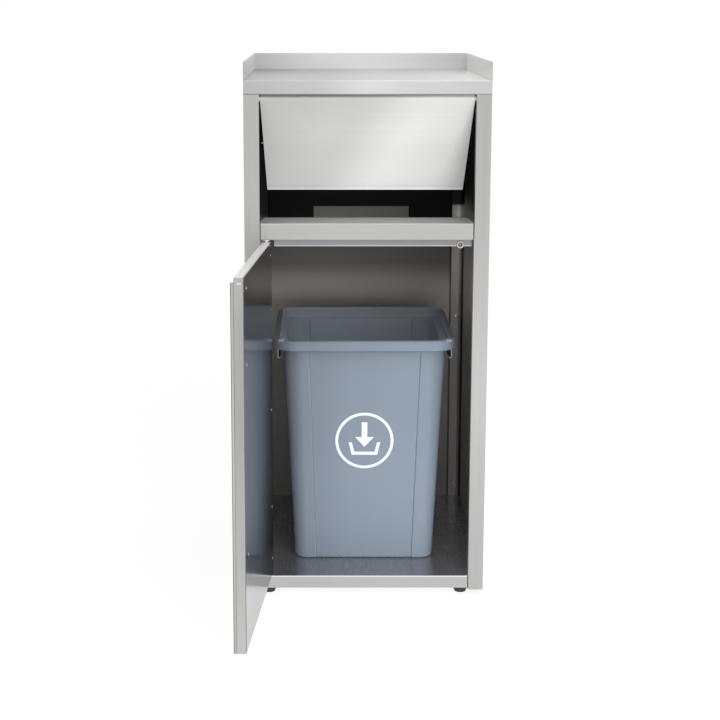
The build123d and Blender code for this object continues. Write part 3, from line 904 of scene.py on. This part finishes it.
@dataclass
class InnerBin:
    """The loose plastic bin: a tapered tub with stepped panels, a rolled rim and side grips."""

    finishes: Finishes
    centre_y: float = FRONT + 0.258
    foot: float = FLOOR_HEIGHT
    top: float = 0.537
    rim: tuple[float, float] = (0.1935, 0.194)
    rim_height: float = 0.0225
    rim_width: float = 0.0135
    flare_bottom: float = 0.51
    rim_corner: float = 0.05
    base_half: tuple[float, float] = (0.15, 0.1515)
    mouth_half: tuple[float, float] = (0.174, 0.173)
    base_corner: float = 0.028
    mouth_corner: float = 0.038
    wall: float = 0.003
    floor: float = 0.004
    step: float = 0.002
    groove: float = 0.0014
    lead: float = 0.0022
    smallest_corner: float = 0.006
    level_gap: float = 0.02
    foot_round: float = 0.005
    floor_round: float = 0.008
    rim_round: float = 0.0065
    mouth_round: float = 0.002
    panel_base: float = 0.1024
    panel_mouth: float = 0.1188
    corner_points: int = 10
    grip_x: float = 0.187
    grip_half: float = 0.15
    grip_bottom: float = 0.49
    grip_ease: float = 0.0006

    def ring(self, half: Pair, corner: float, height: float, panel: float, step: float) -> list[Place]:
        """One level of the tub: a rounded rectangle with its four panels set in.

        Args:
            half: Half the width and half the depth.
            corner: Corner radius.
            height: Height of the level.
            panel: Half the width of the set-in panels.
            step: How far they are set in.

        Returns:
            The points in order round the level.
        """
        points: list[Place] = []
        deep = step + self.groove if step else 0.0
        left = ((-panel - self.lead, 0.0), (-panel - self.lead / 2, deep), (-panel, step))
        joint = left + tuple((-shift, depth) for shift, depth in reversed(left))
        for quarter in range(4):
            turn = quarter * math.pi / 2
            long, wide = half if quarter % 2 == 0 else reversed(half)
            along = Vector((math.cos(turn), math.sin(turn)))
            out = Vector((math.sin(turn), -math.cos(turn)))
            for shift, depth in joint:
                spot = along * shift + out * (wide - depth)
                points.append((spot.x, spot.y + self.centre_y, height))
            middle = along * (long - corner) + out * (wide - corner)
            for count in range(self.corner_points + 1):
                angle = turn - math.pi / 2 + count / self.corner_points * math.pi / 2
                spot = middle + Vector((math.cos(angle), math.sin(angle))) * corner
                points.append((spot.x, spot.y + self.centre_y, height))
        return points

    def wall_ring(
        self, height: float, inset: float, extra: float = 0.0, step: float | None = None
    ) -> list[Place]:
        """The wall's level at a height, drawn in by an inset.

        Args:
            height: Height of the level.
            inset: How far inside the outer face.
            extra: A further inset, for the rounded foot.
            step: How far the panels are set in, or None for the usual depth.

        Returns:
            The points of the level.
        """
        share = (height - self.foot) / (self.top - self.foot)
        inward = inset + extra
        spans = zip(self.base_half, self.mouth_half)
        half = tuple(low + (high - low) * share - inward for low, high in spans)
        corner = self.base_corner + (self.mouth_corner - self.base_corner) * share - inward
        panel = self.panel_base + (self.panel_mouth - self.panel_base) * share
        corner = max(corner, self.smallest_corner)
        return self.ring(half, corner, height, panel, self.step if step is None else step)

    def rim_ring(self, inset: float, height: float) -> list[Place]:
        """The rim's level, drawn in by an inset."""
        corner = max(self.rim_corner - inset, self.smallest_corner)
        return self.ring((self.rim[0] - inset, self.rim[1] - inset), corner, height, self.panel_mouth, 0.0)

    def rings(self) -> list[list[Place]]:
        """Every level from the foot's outside, over the rim, to the floor inside.

        Returns:
            The levels in order.
        """
        flare, wall, rim, gap = self.flare_bottom, self.wall, self.rim_width, self.level_gap
        under, low, skirt = self.top - wall, self.top - self.rim_height, self.rim_width - wall
        levels = []
        for up, across in reversed(quarter_turn(4)):
            height = self.foot + self.foot_round * up
            levels.append(self.wall_ring(height, 0.0, self.foot_round * across))
        levels += [self.wall_ring(self.foot + gap * count, 0.0) for count in range(1, 24)]
        levels.append(self.wall_ring(flare - 0.003, 0.0))
        levels.append(self.wall_ring(flare - 0.0022, 0.0, step=0.0))
        levels.append(self.wall_ring(flare, -0.001, step=0.0))
        flared = [(skirt + 0.001, flare + 0.0012), (skirt, flare + 0.003), (skirt, under - 0.002)]
        flared += [(skirt - 0.002, under), (wall + 0.003, under), (wall, under - 0.003), (wall, low + 0.001)]
        flared += [(wall - 0.0006, low), (0.0008, low), (0.0, low + 0.0012)]
        flared += [(self.rim_round * out, self.top - self.rim_round * up) for up, out in quarter_turn(6)]
        flared.append((rim - 0.003, self.top))
        mouth = quarter_turn(4)[1:]
        flared += [(rim - self.mouth_round * up, self.top - self.mouth_round * out) for up, out in mouth]
        flared += [(rim, flare + 0.008), (rim + 0.0006, flare + 0.0058), (rim + 0.0018, flare + 0.0047)]
        levels += [self.rim_ring(inset, height) for inset, height in flared]
        levels.append(self.wall_ring(flare + 0.0042, wall - 0.002, step=0.0))
        levels.append(self.wall_ring(flare + 0.003, wall - 0.0004, step=0.0))
        levels.append(self.wall_ring(flare + 0.0022, wall, step=0.0))
        levels.append(self.wall_ring(flare + 0.0012, wall))
        levels += [self.wall_ring(flare - gap * count, wall) for count in range(1, 23)]
        for up, across in quarter_turn(4):
            height = self.foot + self.floor + self.floor_round * up
            levels.append(self.wall_ring(height, wall, self.floor_round * across))
        return levels

    def tub(self) -> bpy.types.Object:
        """Loft the tub through its levels, giving the inner faces the paler copy of the plastic as painted
        light.

        Returns:
            The tub.
        """
        bm = bmesh.new()
        loops = [[bm.verts.new(point) for point in level] for level in self.rings()]
        joint = 6
        quarter = joint + self.corner_points + 1
        for below, above in zip(loops, loops[1:]):
            for index, vert in enumerate(below):
                after = (index + 1) % len(below)
                bm.faces.new((vert, below[after], above[after], above[index]))
                if index % quarter < joint:
                    bm.edges.get((vert, above[index])).smooth = False
        bm.faces.new(list(reversed(loops[0])))
        bm.faces.new(loops[-1])
        bmesh.ops.recalc_face_normals(bm, faces=bm.faces)
        reach, floor = self.rim[0] - self.rim_width + 0.001, self.foot + self.floor - 0.001
        for face in bm.faces:
            middle = face.calc_center_median()
            inward = Vector((-middle.x, self.centre_y - middle.y, 0.0)).dot(face.normal)
            within = max(abs(middle.x), abs(middle.y - self.centre_y)) < reach and middle.z > floor
            # Inner faces take the paler copy of the plastic, painted light.
            face.material_index = int(within and (inward > 0 or face.normal.z > 0.3))
        return even_normals(show(bm, "tub", [self.finishes.get(BIN_PLASTIC), self.finishes.get(BIN_INSIDE)]))

    def grips(self) -> bpy.types.Object:
        """The moulded bar under the rim on each side.

        Returns:
            Both bars as one piece.
        """
        bm = bmesh.new()
        under = self.top - self.wall
        for side in (-1, 1):
            out, lip = side * self.grip_x, side * (self.grip_x - 0.003)
            back, low = side * (self.grip_x - 0.007), self.grip_bottom
            profile = [(out, under), (out, low + 0.002), (out - side * 0.002, low), (back, low)]
            profile += [(back, low + 0.0025), (lip, low + 0.0025), (lip, under)]
            places = (self.centre_y - self.grip_half, self.centre_y + self.grip_half)
            ends = [[bm.verts.new((x, y, z)) for x, z in profile] for y in places]
            for index in range(len(profile)):
                after = (index + 1) % len(profile)
                bm.faces.new((ends[0][index], ends[0][after], ends[1][after], ends[1][index]))
            for end in ends:
                bm.faces.new(end)
        bmesh.ops.recalc_face_normals(bm, faces=bm.faces)
        how = {"segments": 2, "profile": 0.5, "affect": "EDGES", "clamp_overlap": True}
        bmesh.ops.bevel(bm, geom=list(bm.edges), offset=self.grip_ease, **how)
        return even_normals(show(bm, "side_grips", [self.finishes.get(BIN_PLASTIC)]))

    def build(self) -> None:
        """Build and hang the bin."""
        fasten(self.tub(), Body.BIN, "bin_plastic", "inner_bin")
        fasten(self.grips(), Body.BIN, "bin_plastic")


@dataclass
class BinMark:
    """A plain printed sign on the bin's front: a ring round an arrow and a tray."""

    tub: InnerBin
    centre_z: float = 0.311
    ring_outer: float = 0.0625
    ring_inner: float = 0.0565
    ring_points: int = 96
    proud: float = 0.0002
    sink: float = 0.0004
    arrow: tuple[Pair, ...] = (
        (-0.006, 0.041),
        (0.006, 0.041),
        (0.006, 0.008),
        (0.02, 0.008),
        (0.0, -0.014),
        (-0.02, 0.008),
        (-0.006, 0.008),
    )
    tray: tuple[Pair, ...] = (
        (-0.034, -0.004),
        (-0.027, -0.004),
        (-0.022, -0.025),
        (0.022, -0.025),
        (0.027, -0.004),
        (0.034, -0.004),
        (0.0275, -0.032),
        (-0.0275, -0.032),
    )

    def front(self, x: float, z: float, out: float) -> Place:
        """A point on the bin's front panel, moved out of its surface."""
        share = (z - self.tub.foot) / (self.tub.top - self.tub.foot)
        half = self.tub.base_half[1] + (self.tub.mouth_half[1] - self.tub.base_half[1]) * share
        return (x, self.tub.centre_y - half + self.tub.step - out, z)

    def plate(self, bm: bmesh.types.BMesh, outline: Sequence[Pair], hole: Sequence[Pair] = ()) -> None:
        """Add one flat printed shape.

        Args:
            bm: Where to add it.
            outline: Its corners as x and z from the mark's middle, in order.
            hole: As many corners of a hole, facing the outline's.
        """
        loops = []
        for path in (outline, hole) if hole else (outline,):
            for out in (self.proud, -self.sink):
                loops.append([bm.verts.new(self.front(x, self.centre_z + z, out)) for x, z in path])
        count = len(outline)
        for index in range(count):
            after = (index + 1) % count
            bm.faces.new((loops[0][index], loops[0][after], loops[1][after], loops[1][index]))
            if hole:
                bm.faces.new((loops[2][index], loops[3][index], loops[3][after], loops[2][after]))
                bm.faces.new((loops[0][after], loops[0][index], loops[2][index], loops[2][after]))
                bm.faces.new((loops[1][index], loops[1][after], loops[3][after], loops[3][index]))
        if not hole:
            bm.faces.new(list(reversed(loops[0])))
            bm.faces.new(loops[1])

    def build(self) -> None:
        """Build and hang the mark."""
        bm = bmesh.new()
        turns = [math.tau * step / self.ring_points for step in range(self.ring_points)]
        circle = [(math.cos(turn), math.sin(turn)) for turn in turns]
        radii = (self.ring_outer, self.ring_inner)
        self.plate(bm, *([(radius * x, radius * y) for x, y in circle] for radius in radii))
        self.plate(bm, self.arrow)
        self.plate(bm, self.tray)
        bmesh.ops.recalc_face_normals(bm, faces=bm.faces)
        fasten(show(bm, "bin_mark", [self.tub.finishes.get(MARK_INK)]), Body.BIN, "bin_plastic")


@dataclass
class RivetHeads:
    """Domed rivet heads set by one node tree, a mesh for each body and wall."""

    finishes: Finishes
    head_radius: float = 0.0034
    head_height: float = 0.0008
    shank_radius: float = 0.00198
    around: int = 24
    seed: int = 7
    back_x: float = 0.233
    back_gap: float = 0.0024
    back_shank: float = 0.00238
    back_heights: tuple[float, ...] = (0.075, 0.494, 0.913)
    side_depth: float = 0.352
    side_shank: float = 0.00118
    side_heights: tuple[float, ...] = (0.143, 0.7)
    door_shank: float = 0.0038
    door_inward: float = 0.01
    door_edge: float = 0.381
    door_edge_heights: tuple[float, ...] = (0.7305, 0.588, 0.2257, 0.0845)
    door_hinge: float = 0.008
    door_hinge_heights: tuple[float, ...] = (0.731, 0.6166, 0.4055, 0.1949, 0.082)

    def tree(self) -> bpy.types.NodeTree:
        """Draw the node tree that puts a dome on every point.

        Returns:
            The tree, with the inputs Head Radius, Head Height, Shank Radius, Shank Length, Seed and Finish.
        """
        tree = bpy.data.node_groups.new("rivet_heads", "GeometryNodeTree")
        face = tree.interface
        face.new_socket("Geometry", in_out="INPUT", socket_type="NodeSocketGeometry")
        for name in ("Head Radius", "Head Height", "Shank Radius", "Shank Length"):
            face.new_socket(name, in_out="INPUT", socket_type="NodeSocketFloat")
        face.new_socket("Seed", in_out="INPUT", socket_type="NodeSocketInt")
        face.new_socket("Finish", in_out="INPUT", socket_type="NodeSocketMaterial")
        face.new_socket("Geometry", in_out="OUTPUT", socket_type="NodeSocketGeometry")
        add, join = tree.nodes.new, tree.links.new
        given, result = add("NodeGroupInput"), add("NodeGroupOutput")
        dome, size = add("GeometryNodeMeshUVSphere"), add("ShaderNodeCombineXYZ")
        flatten = add("GeometryNodeTransform")
        dome.inputs["Segments"].default_value = self.around
        dome.inputs["Rings"].default_value = self.around // 2
        dome.inputs["Radius"].default_value = 1.0
        join(given.outputs["Head Radius"], size.inputs["X"])
        join(given.outputs["Head Radius"], size.inputs["Y"])
        join(given.outputs["Head Height"], size.inputs["Z"])
        join(dome.outputs["Mesh"], flatten.inputs["Geometry"])
        join(size.outputs[0], flatten.inputs["Scale"])
        shank, half = add("GeometryNodeMeshCylinder"), add("ShaderNodeMath")
        drop, lower = add("ShaderNodeCombineXYZ"), add("GeometryNodeTransform")
        whole = add("GeometryNodeJoinGeometry")
        shank.inputs["Vertices"].default_value = self.around
        half.operation = "MULTIPLY"
        half.inputs[1].default_value = -0.5
        join(given.outputs["Shank Radius"], shank.inputs["Radius"])
        join(given.outputs["Shank Length"], shank.inputs["Depth"])
        join(given.outputs["Shank Length"], half.inputs[0])
        join(half.outputs[0], drop.inputs["Z"])
        join(drop.outputs[0], lower.inputs["Translation"])
        join(shank.outputs["Mesh"], lower.inputs["Geometry"])
        join(flatten.outputs["Geometry"], whole.inputs["Geometry"])
        join(lower.outputs["Geometry"], whole.inputs["Geometry"])
        facing, align = add("GeometryNodeInputNamedAttribute"), add("FunctionNodeAlignRotationToVector")
        facing.data_type = "FLOAT_VECTOR"
        facing.inputs["Name"].default_value = "facing"
        align.axis = "Z"
        join(facing.outputs["Attribute"], align.inputs["Vector"])
        spin, turn = add("FunctionNodeRandomValue"), add("ShaderNodeCombineXYZ")
        both = add("FunctionNodeRotateRotation")
        spin.data_type = "FLOAT"
        spin.inputs["Max"].default_value = math.tau
        both.rotation_space = "LOCAL"
        join(given.outputs["Seed"], spin.inputs["Seed"])
        join(next(socket for socket in spin.outputs if socket.enabled), turn.inputs["Z"])
        join(align.outputs["Rotation"], both.inputs["Rotation"])
        join(turn.outputs[0], both.inputs["Rotate By"])
        put, real = add("GeometryNodeInstanceOnPoints"), add("GeometryNodeRealizeInstances")
        coat = add("GeometryNodeSetMaterial")
        join(given.outputs["Geometry"], put.inputs["Points"])
        join(whole.outputs["Geometry"], put.inputs["Instance"])
        join(both.outputs["Rotation"], put.inputs["Rotation"])
        join(put.outputs["Instances"], real.inputs["Geometry"])
        join(real.outputs["Geometry"], coat.inputs["Geometry"])
        join(given.outputs["Finish"], coat.inputs["Material"])
        join(coat.outputs["Geometry"], result.inputs["Geometry"])
        return tree

    def row(
        self,
        tree: bpy.types.NodeTree,
        body: Body,
        node: str,
        shank: float,
        heads: Sequence[tuple[Place, Place]],
    ) -> None:
        """Set one mesh of heads and hang it.

        Args:
            tree: The shared node tree.
            body: The body it moves with.
            node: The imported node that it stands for.
            shank: Length of each shank.
            heads: Place and outward direction of each head.
        """
        name = f"{node}_heads"
        mesh = bpy.data.meshes.new(name)
        mesh.from_pydata([place for place, _ in heads], [], [])
        facing = mesh.attributes.new("facing", "FLOAT_VECTOR", "POINT")
        for item, (_, way) in zip(facing.data, heads):
            item.vector = way
        piece = bpy.data.objects.new(name, mesh)
        bpy.context.scene.collection.objects.link(piece)
        setter = piece.modifiers.new("heads", "NODES")
        setter.node_group = tree
        finish = self.finishes.get(BRIGHT_STEEL)
        values = {
            "Head Radius": self.head_radius,
            "Head Height": self.head_height,
            "Shank Radius": self.shank_radius,
            "Shank Length": shank,
            "Seed": self.seed,
            "Finish": finish,
        }
        for item in tree.interface.items_tree:
            if item.in_out == "INPUT" and item.name in values:
                setter[item.identifier] = values[item.name]
        settle(piece)
        for face in piece.data.polygons:
            face.use_smooth = True
        fasten(piece, body, "hardware_steel", node)

    def build(self) -> None:
        """Set every row of heads."""
        tree = self.tree()
        backs = [(x, BACK - self.back_gap, z) for x in (-self.back_x, self.back_x) for z in self.back_heights]
        heads = [(place, (0, -1, 0)) for place in backs]
        self.row(tree, Body.CABINET, "back_panel_rivets", self.back_shank, heads)
        depth, walls = FRONT + self.side_depth, (-SIDE_INSIDE, SIDE_INSIDE)
        sides = [(x, depth, z) for x in walls for z in self.side_heights]
        heads = [(place, (-place[0], 0, 0)) for place in sides]
        self.row(tree, Body.CABINET, "side_wall_rivets", self.side_shank, heads)
        spots = [(self.door_edge, z) for z in self.door_edge_heights]
        spots += [(self.door_hinge, z) for z in self.door_hinge_heights]
        heads = [(on_door(x, self.door_inward, z), DOOR_INWARD) for x, z in spots]
        self.row(tree, Body.DOOR, "door_skin_rivets", self.door_shank, heads)


@dataclass
class DoorCatch:
    """The round magnet under the rail and the cross-head screw that holds it."""

    finishes: Finishes
    place: Place = (0.1925, FRONT + 0.022, 0.7494)
    steps: int = 48
    slot_size: Pair = (0.0032, 0.0007)
    slot_height: float = 0.0006
    slot_place: float = 0.0026
    # A black disc at the bottom of the magnet's bore, painted shade for the bore's depth.
    bore_shade: tuple[Pair, ...] = ((0.00405, 0.00002), (0.00405, 0.0004))
    magnet: tuple[Pair, ...] = (
        (0.008, 0.0),
        (0.008, 0.0028),
        (0.0077, 0.0033),
        (0.0071, 0.0036),
        (0.0048, 0.0036),
        (0.0043, 0.0034),
        (0.0041, 0.003),
        (0.0041, 0.0),
    )
    screw: tuple[Pair, ...] = (
        (0.0028, 0.0003),
        (0.0028, 0.0014),
        (0.0024, 0.0021),
        (0.0015, 0.0026),
        (0.0006, 0.0028),
    )

    def turned(self, bm: bmesh.types.BMesh, profile: Sequence[Pair], closed: bool, coat: int = 0) -> None:
        """Spin a profile about the catch's axis.

        Args:
            bm: Where to add it.
            profile: Radius and height above the strip, in order.
            closed: Joins the last ring to the first, else caps both.
            coat: The faces' material index.
        """
        x, y, z = self.place
        turns = [math.tau * step / self.steps for step in range(self.steps)]
        circle = [(math.cos(turn), math.sin(turn)) for turn in turns]
        loops = [
            [bm.verts.new((x + radius * across, y - height, z + radius * up)) for across, up in circle]
            for radius, height in profile
        ]
        pairs = list(zip(loops, loops[1:])) + ([(loops[-1], loops[0])] if closed else [])
        made = []
        for below, above in pairs:
            for index in range(self.steps):
                after = (index + 1) % self.steps
                made.append(bm.faces.new((below[index], below[after], above[after], above[index])))
        if not closed:
            made += [bm.faces.new(loops[0]), bm.faces.new(loops[-1])]
        for face in made:
            face.material_index = coat

    def build(self) -> None:
        """Build and hang the magnet and its screw, with painted shade as black pieces in the bore and the
        cross slots.
        """
        ring = bmesh.new()
        self.turned(ring, self.magnet, True)
        bmesh.ops.recalc_face_normals(ring, faces=ring.faces)
        magnet = even_normals(show(ring, "catch_ring", [self.finishes.get(MAGNET_STEEL)]))
        fasten(magnet, Body.CABINET, "magnet_plate", "door_catch_magnet")
        head = bmesh.new()
        self.turned(head, self.screw, False)
        # Painted shade: a black disc fills the bottom of the bore.
        self.turned(head, self.bore_shade, False, 1)
        x, y, z = self.place
        # Painted shade: two black boxes on the dome stand for the shade in the cross slots.
        for wide, high in (self.slot_size, reversed(self.slot_size)):
            corners = bmesh.ops.create_cube(head, size=1.0)["verts"]
            bmesh.ops.scale(head, vec=(wide, self.slot_height, high), verts=corners)
            bmesh.ops.translate(head, vec=(x, y - self.slot_place, z), verts=corners)
            for face in {face for corner in corners for face in corner.link_faces}:
                face.material_index = 1
        bmesh.ops.recalc_face_normals(head, faces=head.faces)
        # The rubber's black serves as the painted shade of the bore and slots.
        coats = [self.finishes.get(BRIGHT_STEEL), self.finishes.get(FOOT_RUBBER)]
        screw = even_normals(show(head, "catch_screw", coats))
        fasten(screw, Body.CABINET, "hardware_steel", "door_catch_screw")


@dataclass
class Fittings:
    """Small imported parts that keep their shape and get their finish."""

    frame: dict
    finishes: Finishes
    coats: dict[str, BrushedSteel | MouldedPlastic | Rubber] = field(
        default_factory=lambda: {
            "foot_nuts": BRIGHT_STEEL,
            "door_pivot_pins": BRIGHT_STEEL,
            "door_pivot_blocks": BRIGHT_STEEL,
            "flap_pivot_pins": BRIGHT_STEEL,
            "flap_pivot_brackets": BRIGHT_STEEL,
            "foot_stud": BRIGHT_STEEL,
            "door_pivot_bushes": NYLON,
            "flap_pivot_bushes": NYLON,
            "foot_pad": FOOT_RUBBER,
        }
    )

    def build(self) -> None:
        """Coat every fitting."""
        for name, node in self.frame["nodes"].items():
            for prefix, finish in self.coats.items():
                if name.startswith(prefix):
                    node.data.materials.clear()
                    node.data.materials.append(self.finishes.get(finish))
                    LOG.info("%s coated with %s", name, finish.name)


@dataclass(frozen=True)
class Lamp:
    """One soft lamp: where it hangs, what it points at, its width and height, and its watts."""

    name: str
    place: Place
    target: Place
    size: Pair
    power: float

    def hang(self) -> None:
        """Hang the lamp, seen by neither the camera nor the steel."""
        data = bpy.data.lights.new(self.name, "AREA")
        data.shape = "RECTANGLE"
        data.size, data.size_y = self.size
        data.energy = self.power
        lamp = bpy.data.objects.new(self.name, data)
        lamp.location = self.place
        way = Vector(self.target) - Vector(self.place)
        lamp.rotation_euler = way.to_track_quat("-Z", "Y").to_euler()
        lamp.visible_camera = False
        lamp.visible_glossy = False
        bpy.context.scene.collection.objects.link(lamp)


@dataclass
class Studio:
    """Floor, light and camera."""

    camera_place: Place = (-0.0957, FRONT - 3.147, 1.236)
    lens: float = 78.0
    sensor: float = 36.0
    tilt: float = math.radians(10.33)
    shift: Pair = (0.0556, -0.1)
    floor_half: float = 30.0
    floor_grey: float = 0.86
    floor_glow: float = 1.35
    glow_share: float = 0.6
    world_grey: float = 0.5
    lamps: tuple[Lamp, ...] = (
        Lamp("key", (0.9, -2.2, 2.6), (0.0, 0.1, 0.8), (1.6, 1.6), 30.0),
        Lamp("low", (0.5, -2.4, 0.35), (0.0, 0.0, 0.75), (1.8, 0.5), 40.0),
    )

    def camera(self) -> None:
        """Stand the camera where the photograph was taken from."""
        data = bpy.data.cameras.new("camera")
        data.lens = self.lens
        data.sensor_width = self.sensor
        data.shift_x, data.shift_y = self.shift
        camera = bpy.data.objects.new("camera", data)
        camera.location = self.camera_place
        camera.rotation_euler = (math.pi / 2 - self.tilt, 0.0, 0.0)
        bpy.context.scene.collection.objects.link(camera)
        bpy.context.scene.camera = camera

    def floor(self) -> None:
        """Lay a pale floor that shows white and keeps the soft shadow."""
        bm = bmesh.new()
        bmesh.ops.create_grid(bm, x_segments=1, y_segments=1, size=self.floor_half)
        pen = Pen("pale_floor")
        pen.set(base_color=(self.floor_grey, self.floor_grey, self.floor_grey, 1.0), roughness=0.9)
        glow = pen.add("ShaderNodeEmission")
        glow.inputs["Color"].default_value = (1.0, 1.0, 1.0, 1.0)
        glow.inputs["Strength"].default_value = self.floor_glow
        path = pen.add("ShaderNodeLightPath")
        seen = pen.combine("MAXIMUM", path.outputs["Is Camera Ray"], path.outputs["Is Glossy Ray"])
        seen = pen.combine("MAXIMUM", seen, path.outputs["Is Transmission Ray"])
        mix = pen.add("ShaderNodeMixShader")
        pen.join(pen.remap(seen, 0.0, self.glow_share), mix.inputs[0])
        pen.join(pen.shader.outputs["BSDF"], mix.inputs[1])
        pen.join(glow.outputs["Emission"], mix.inputs[2])
        pen.join(mix.outputs["Shader"], pen.output.inputs["Surface"])
        floor = show(bm, "floor", [pen.material])

    def world(self) -> None:
        """Surround the cabinet with an even pale light, white where the camera sees it."""
        world = bpy.data.worlds.new("studio")
        bpy.context.scene.world = world
        world.use_nodes = True
        nodes, links = world.node_tree.nodes, world.node_tree.links
        nodes.clear()
        output, mix = nodes.new("ShaderNodeOutputWorld"), nodes.new("ShaderNodeMixShader")
        plain, seen = nodes.new("ShaderNodeBackground"), nodes.new("ShaderNodeBackground")
        plain.inputs["Color"].default_value = (self.world_grey, self.world_grey, self.world_grey, 1.0)
        seen.inputs["Color"].default_value = (1.0, 1.0, 1.0, 1.0)
        path = nodes.new("ShaderNodeLightPath")
        share = path.outputs["Is Camera Ray"]
        for ray in ("Is Glossy Ray", "Is Transmission Ray"):
            either = nodes.new("ShaderNodeMath")
            either.operation = "MAXIMUM"
            links.new(share, either.inputs[0])
            links.new(path.outputs[ray], either.inputs[1])
            share = either.outputs[0]
        links.new(share, mix.inputs[0])
        links.new(plain.outputs[0], mix.inputs[1])
        links.new(seen.outputs[0], mix.inputs[2])
        links.new(mix.outputs[0], output.inputs["Surface"])

    def build(self) -> None:
        """Set up the whole studio."""
        self.camera()
        self.floor()
        self.world()
        for lamp in self.lamps:
            lamp.hang()
        bpy.context.scene.view_settings.view_transform = "Standard"


def main() -> None:
    """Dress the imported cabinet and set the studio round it."""
    logging.basicConfig(level=logging.INFO, format="%(name)s: %(message)s")
    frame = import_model()
    finishes = Finishes()
    shop = SheetShop(frame, finishes)
    Studio().build()
    Carcass(shop).build()
    TrayTop(shop).build()
    PushFlap(shop).build()
    SwingDoor(shop).build()
    tub = InnerBin(finishes)
    tub.build()
    BinMark(tub).build()
    RivetHeads(finishes).build()
    DoorCatch(finishes).build()
    Fittings(frame, finishes).build()


if __name__ == "__main__":
    main()
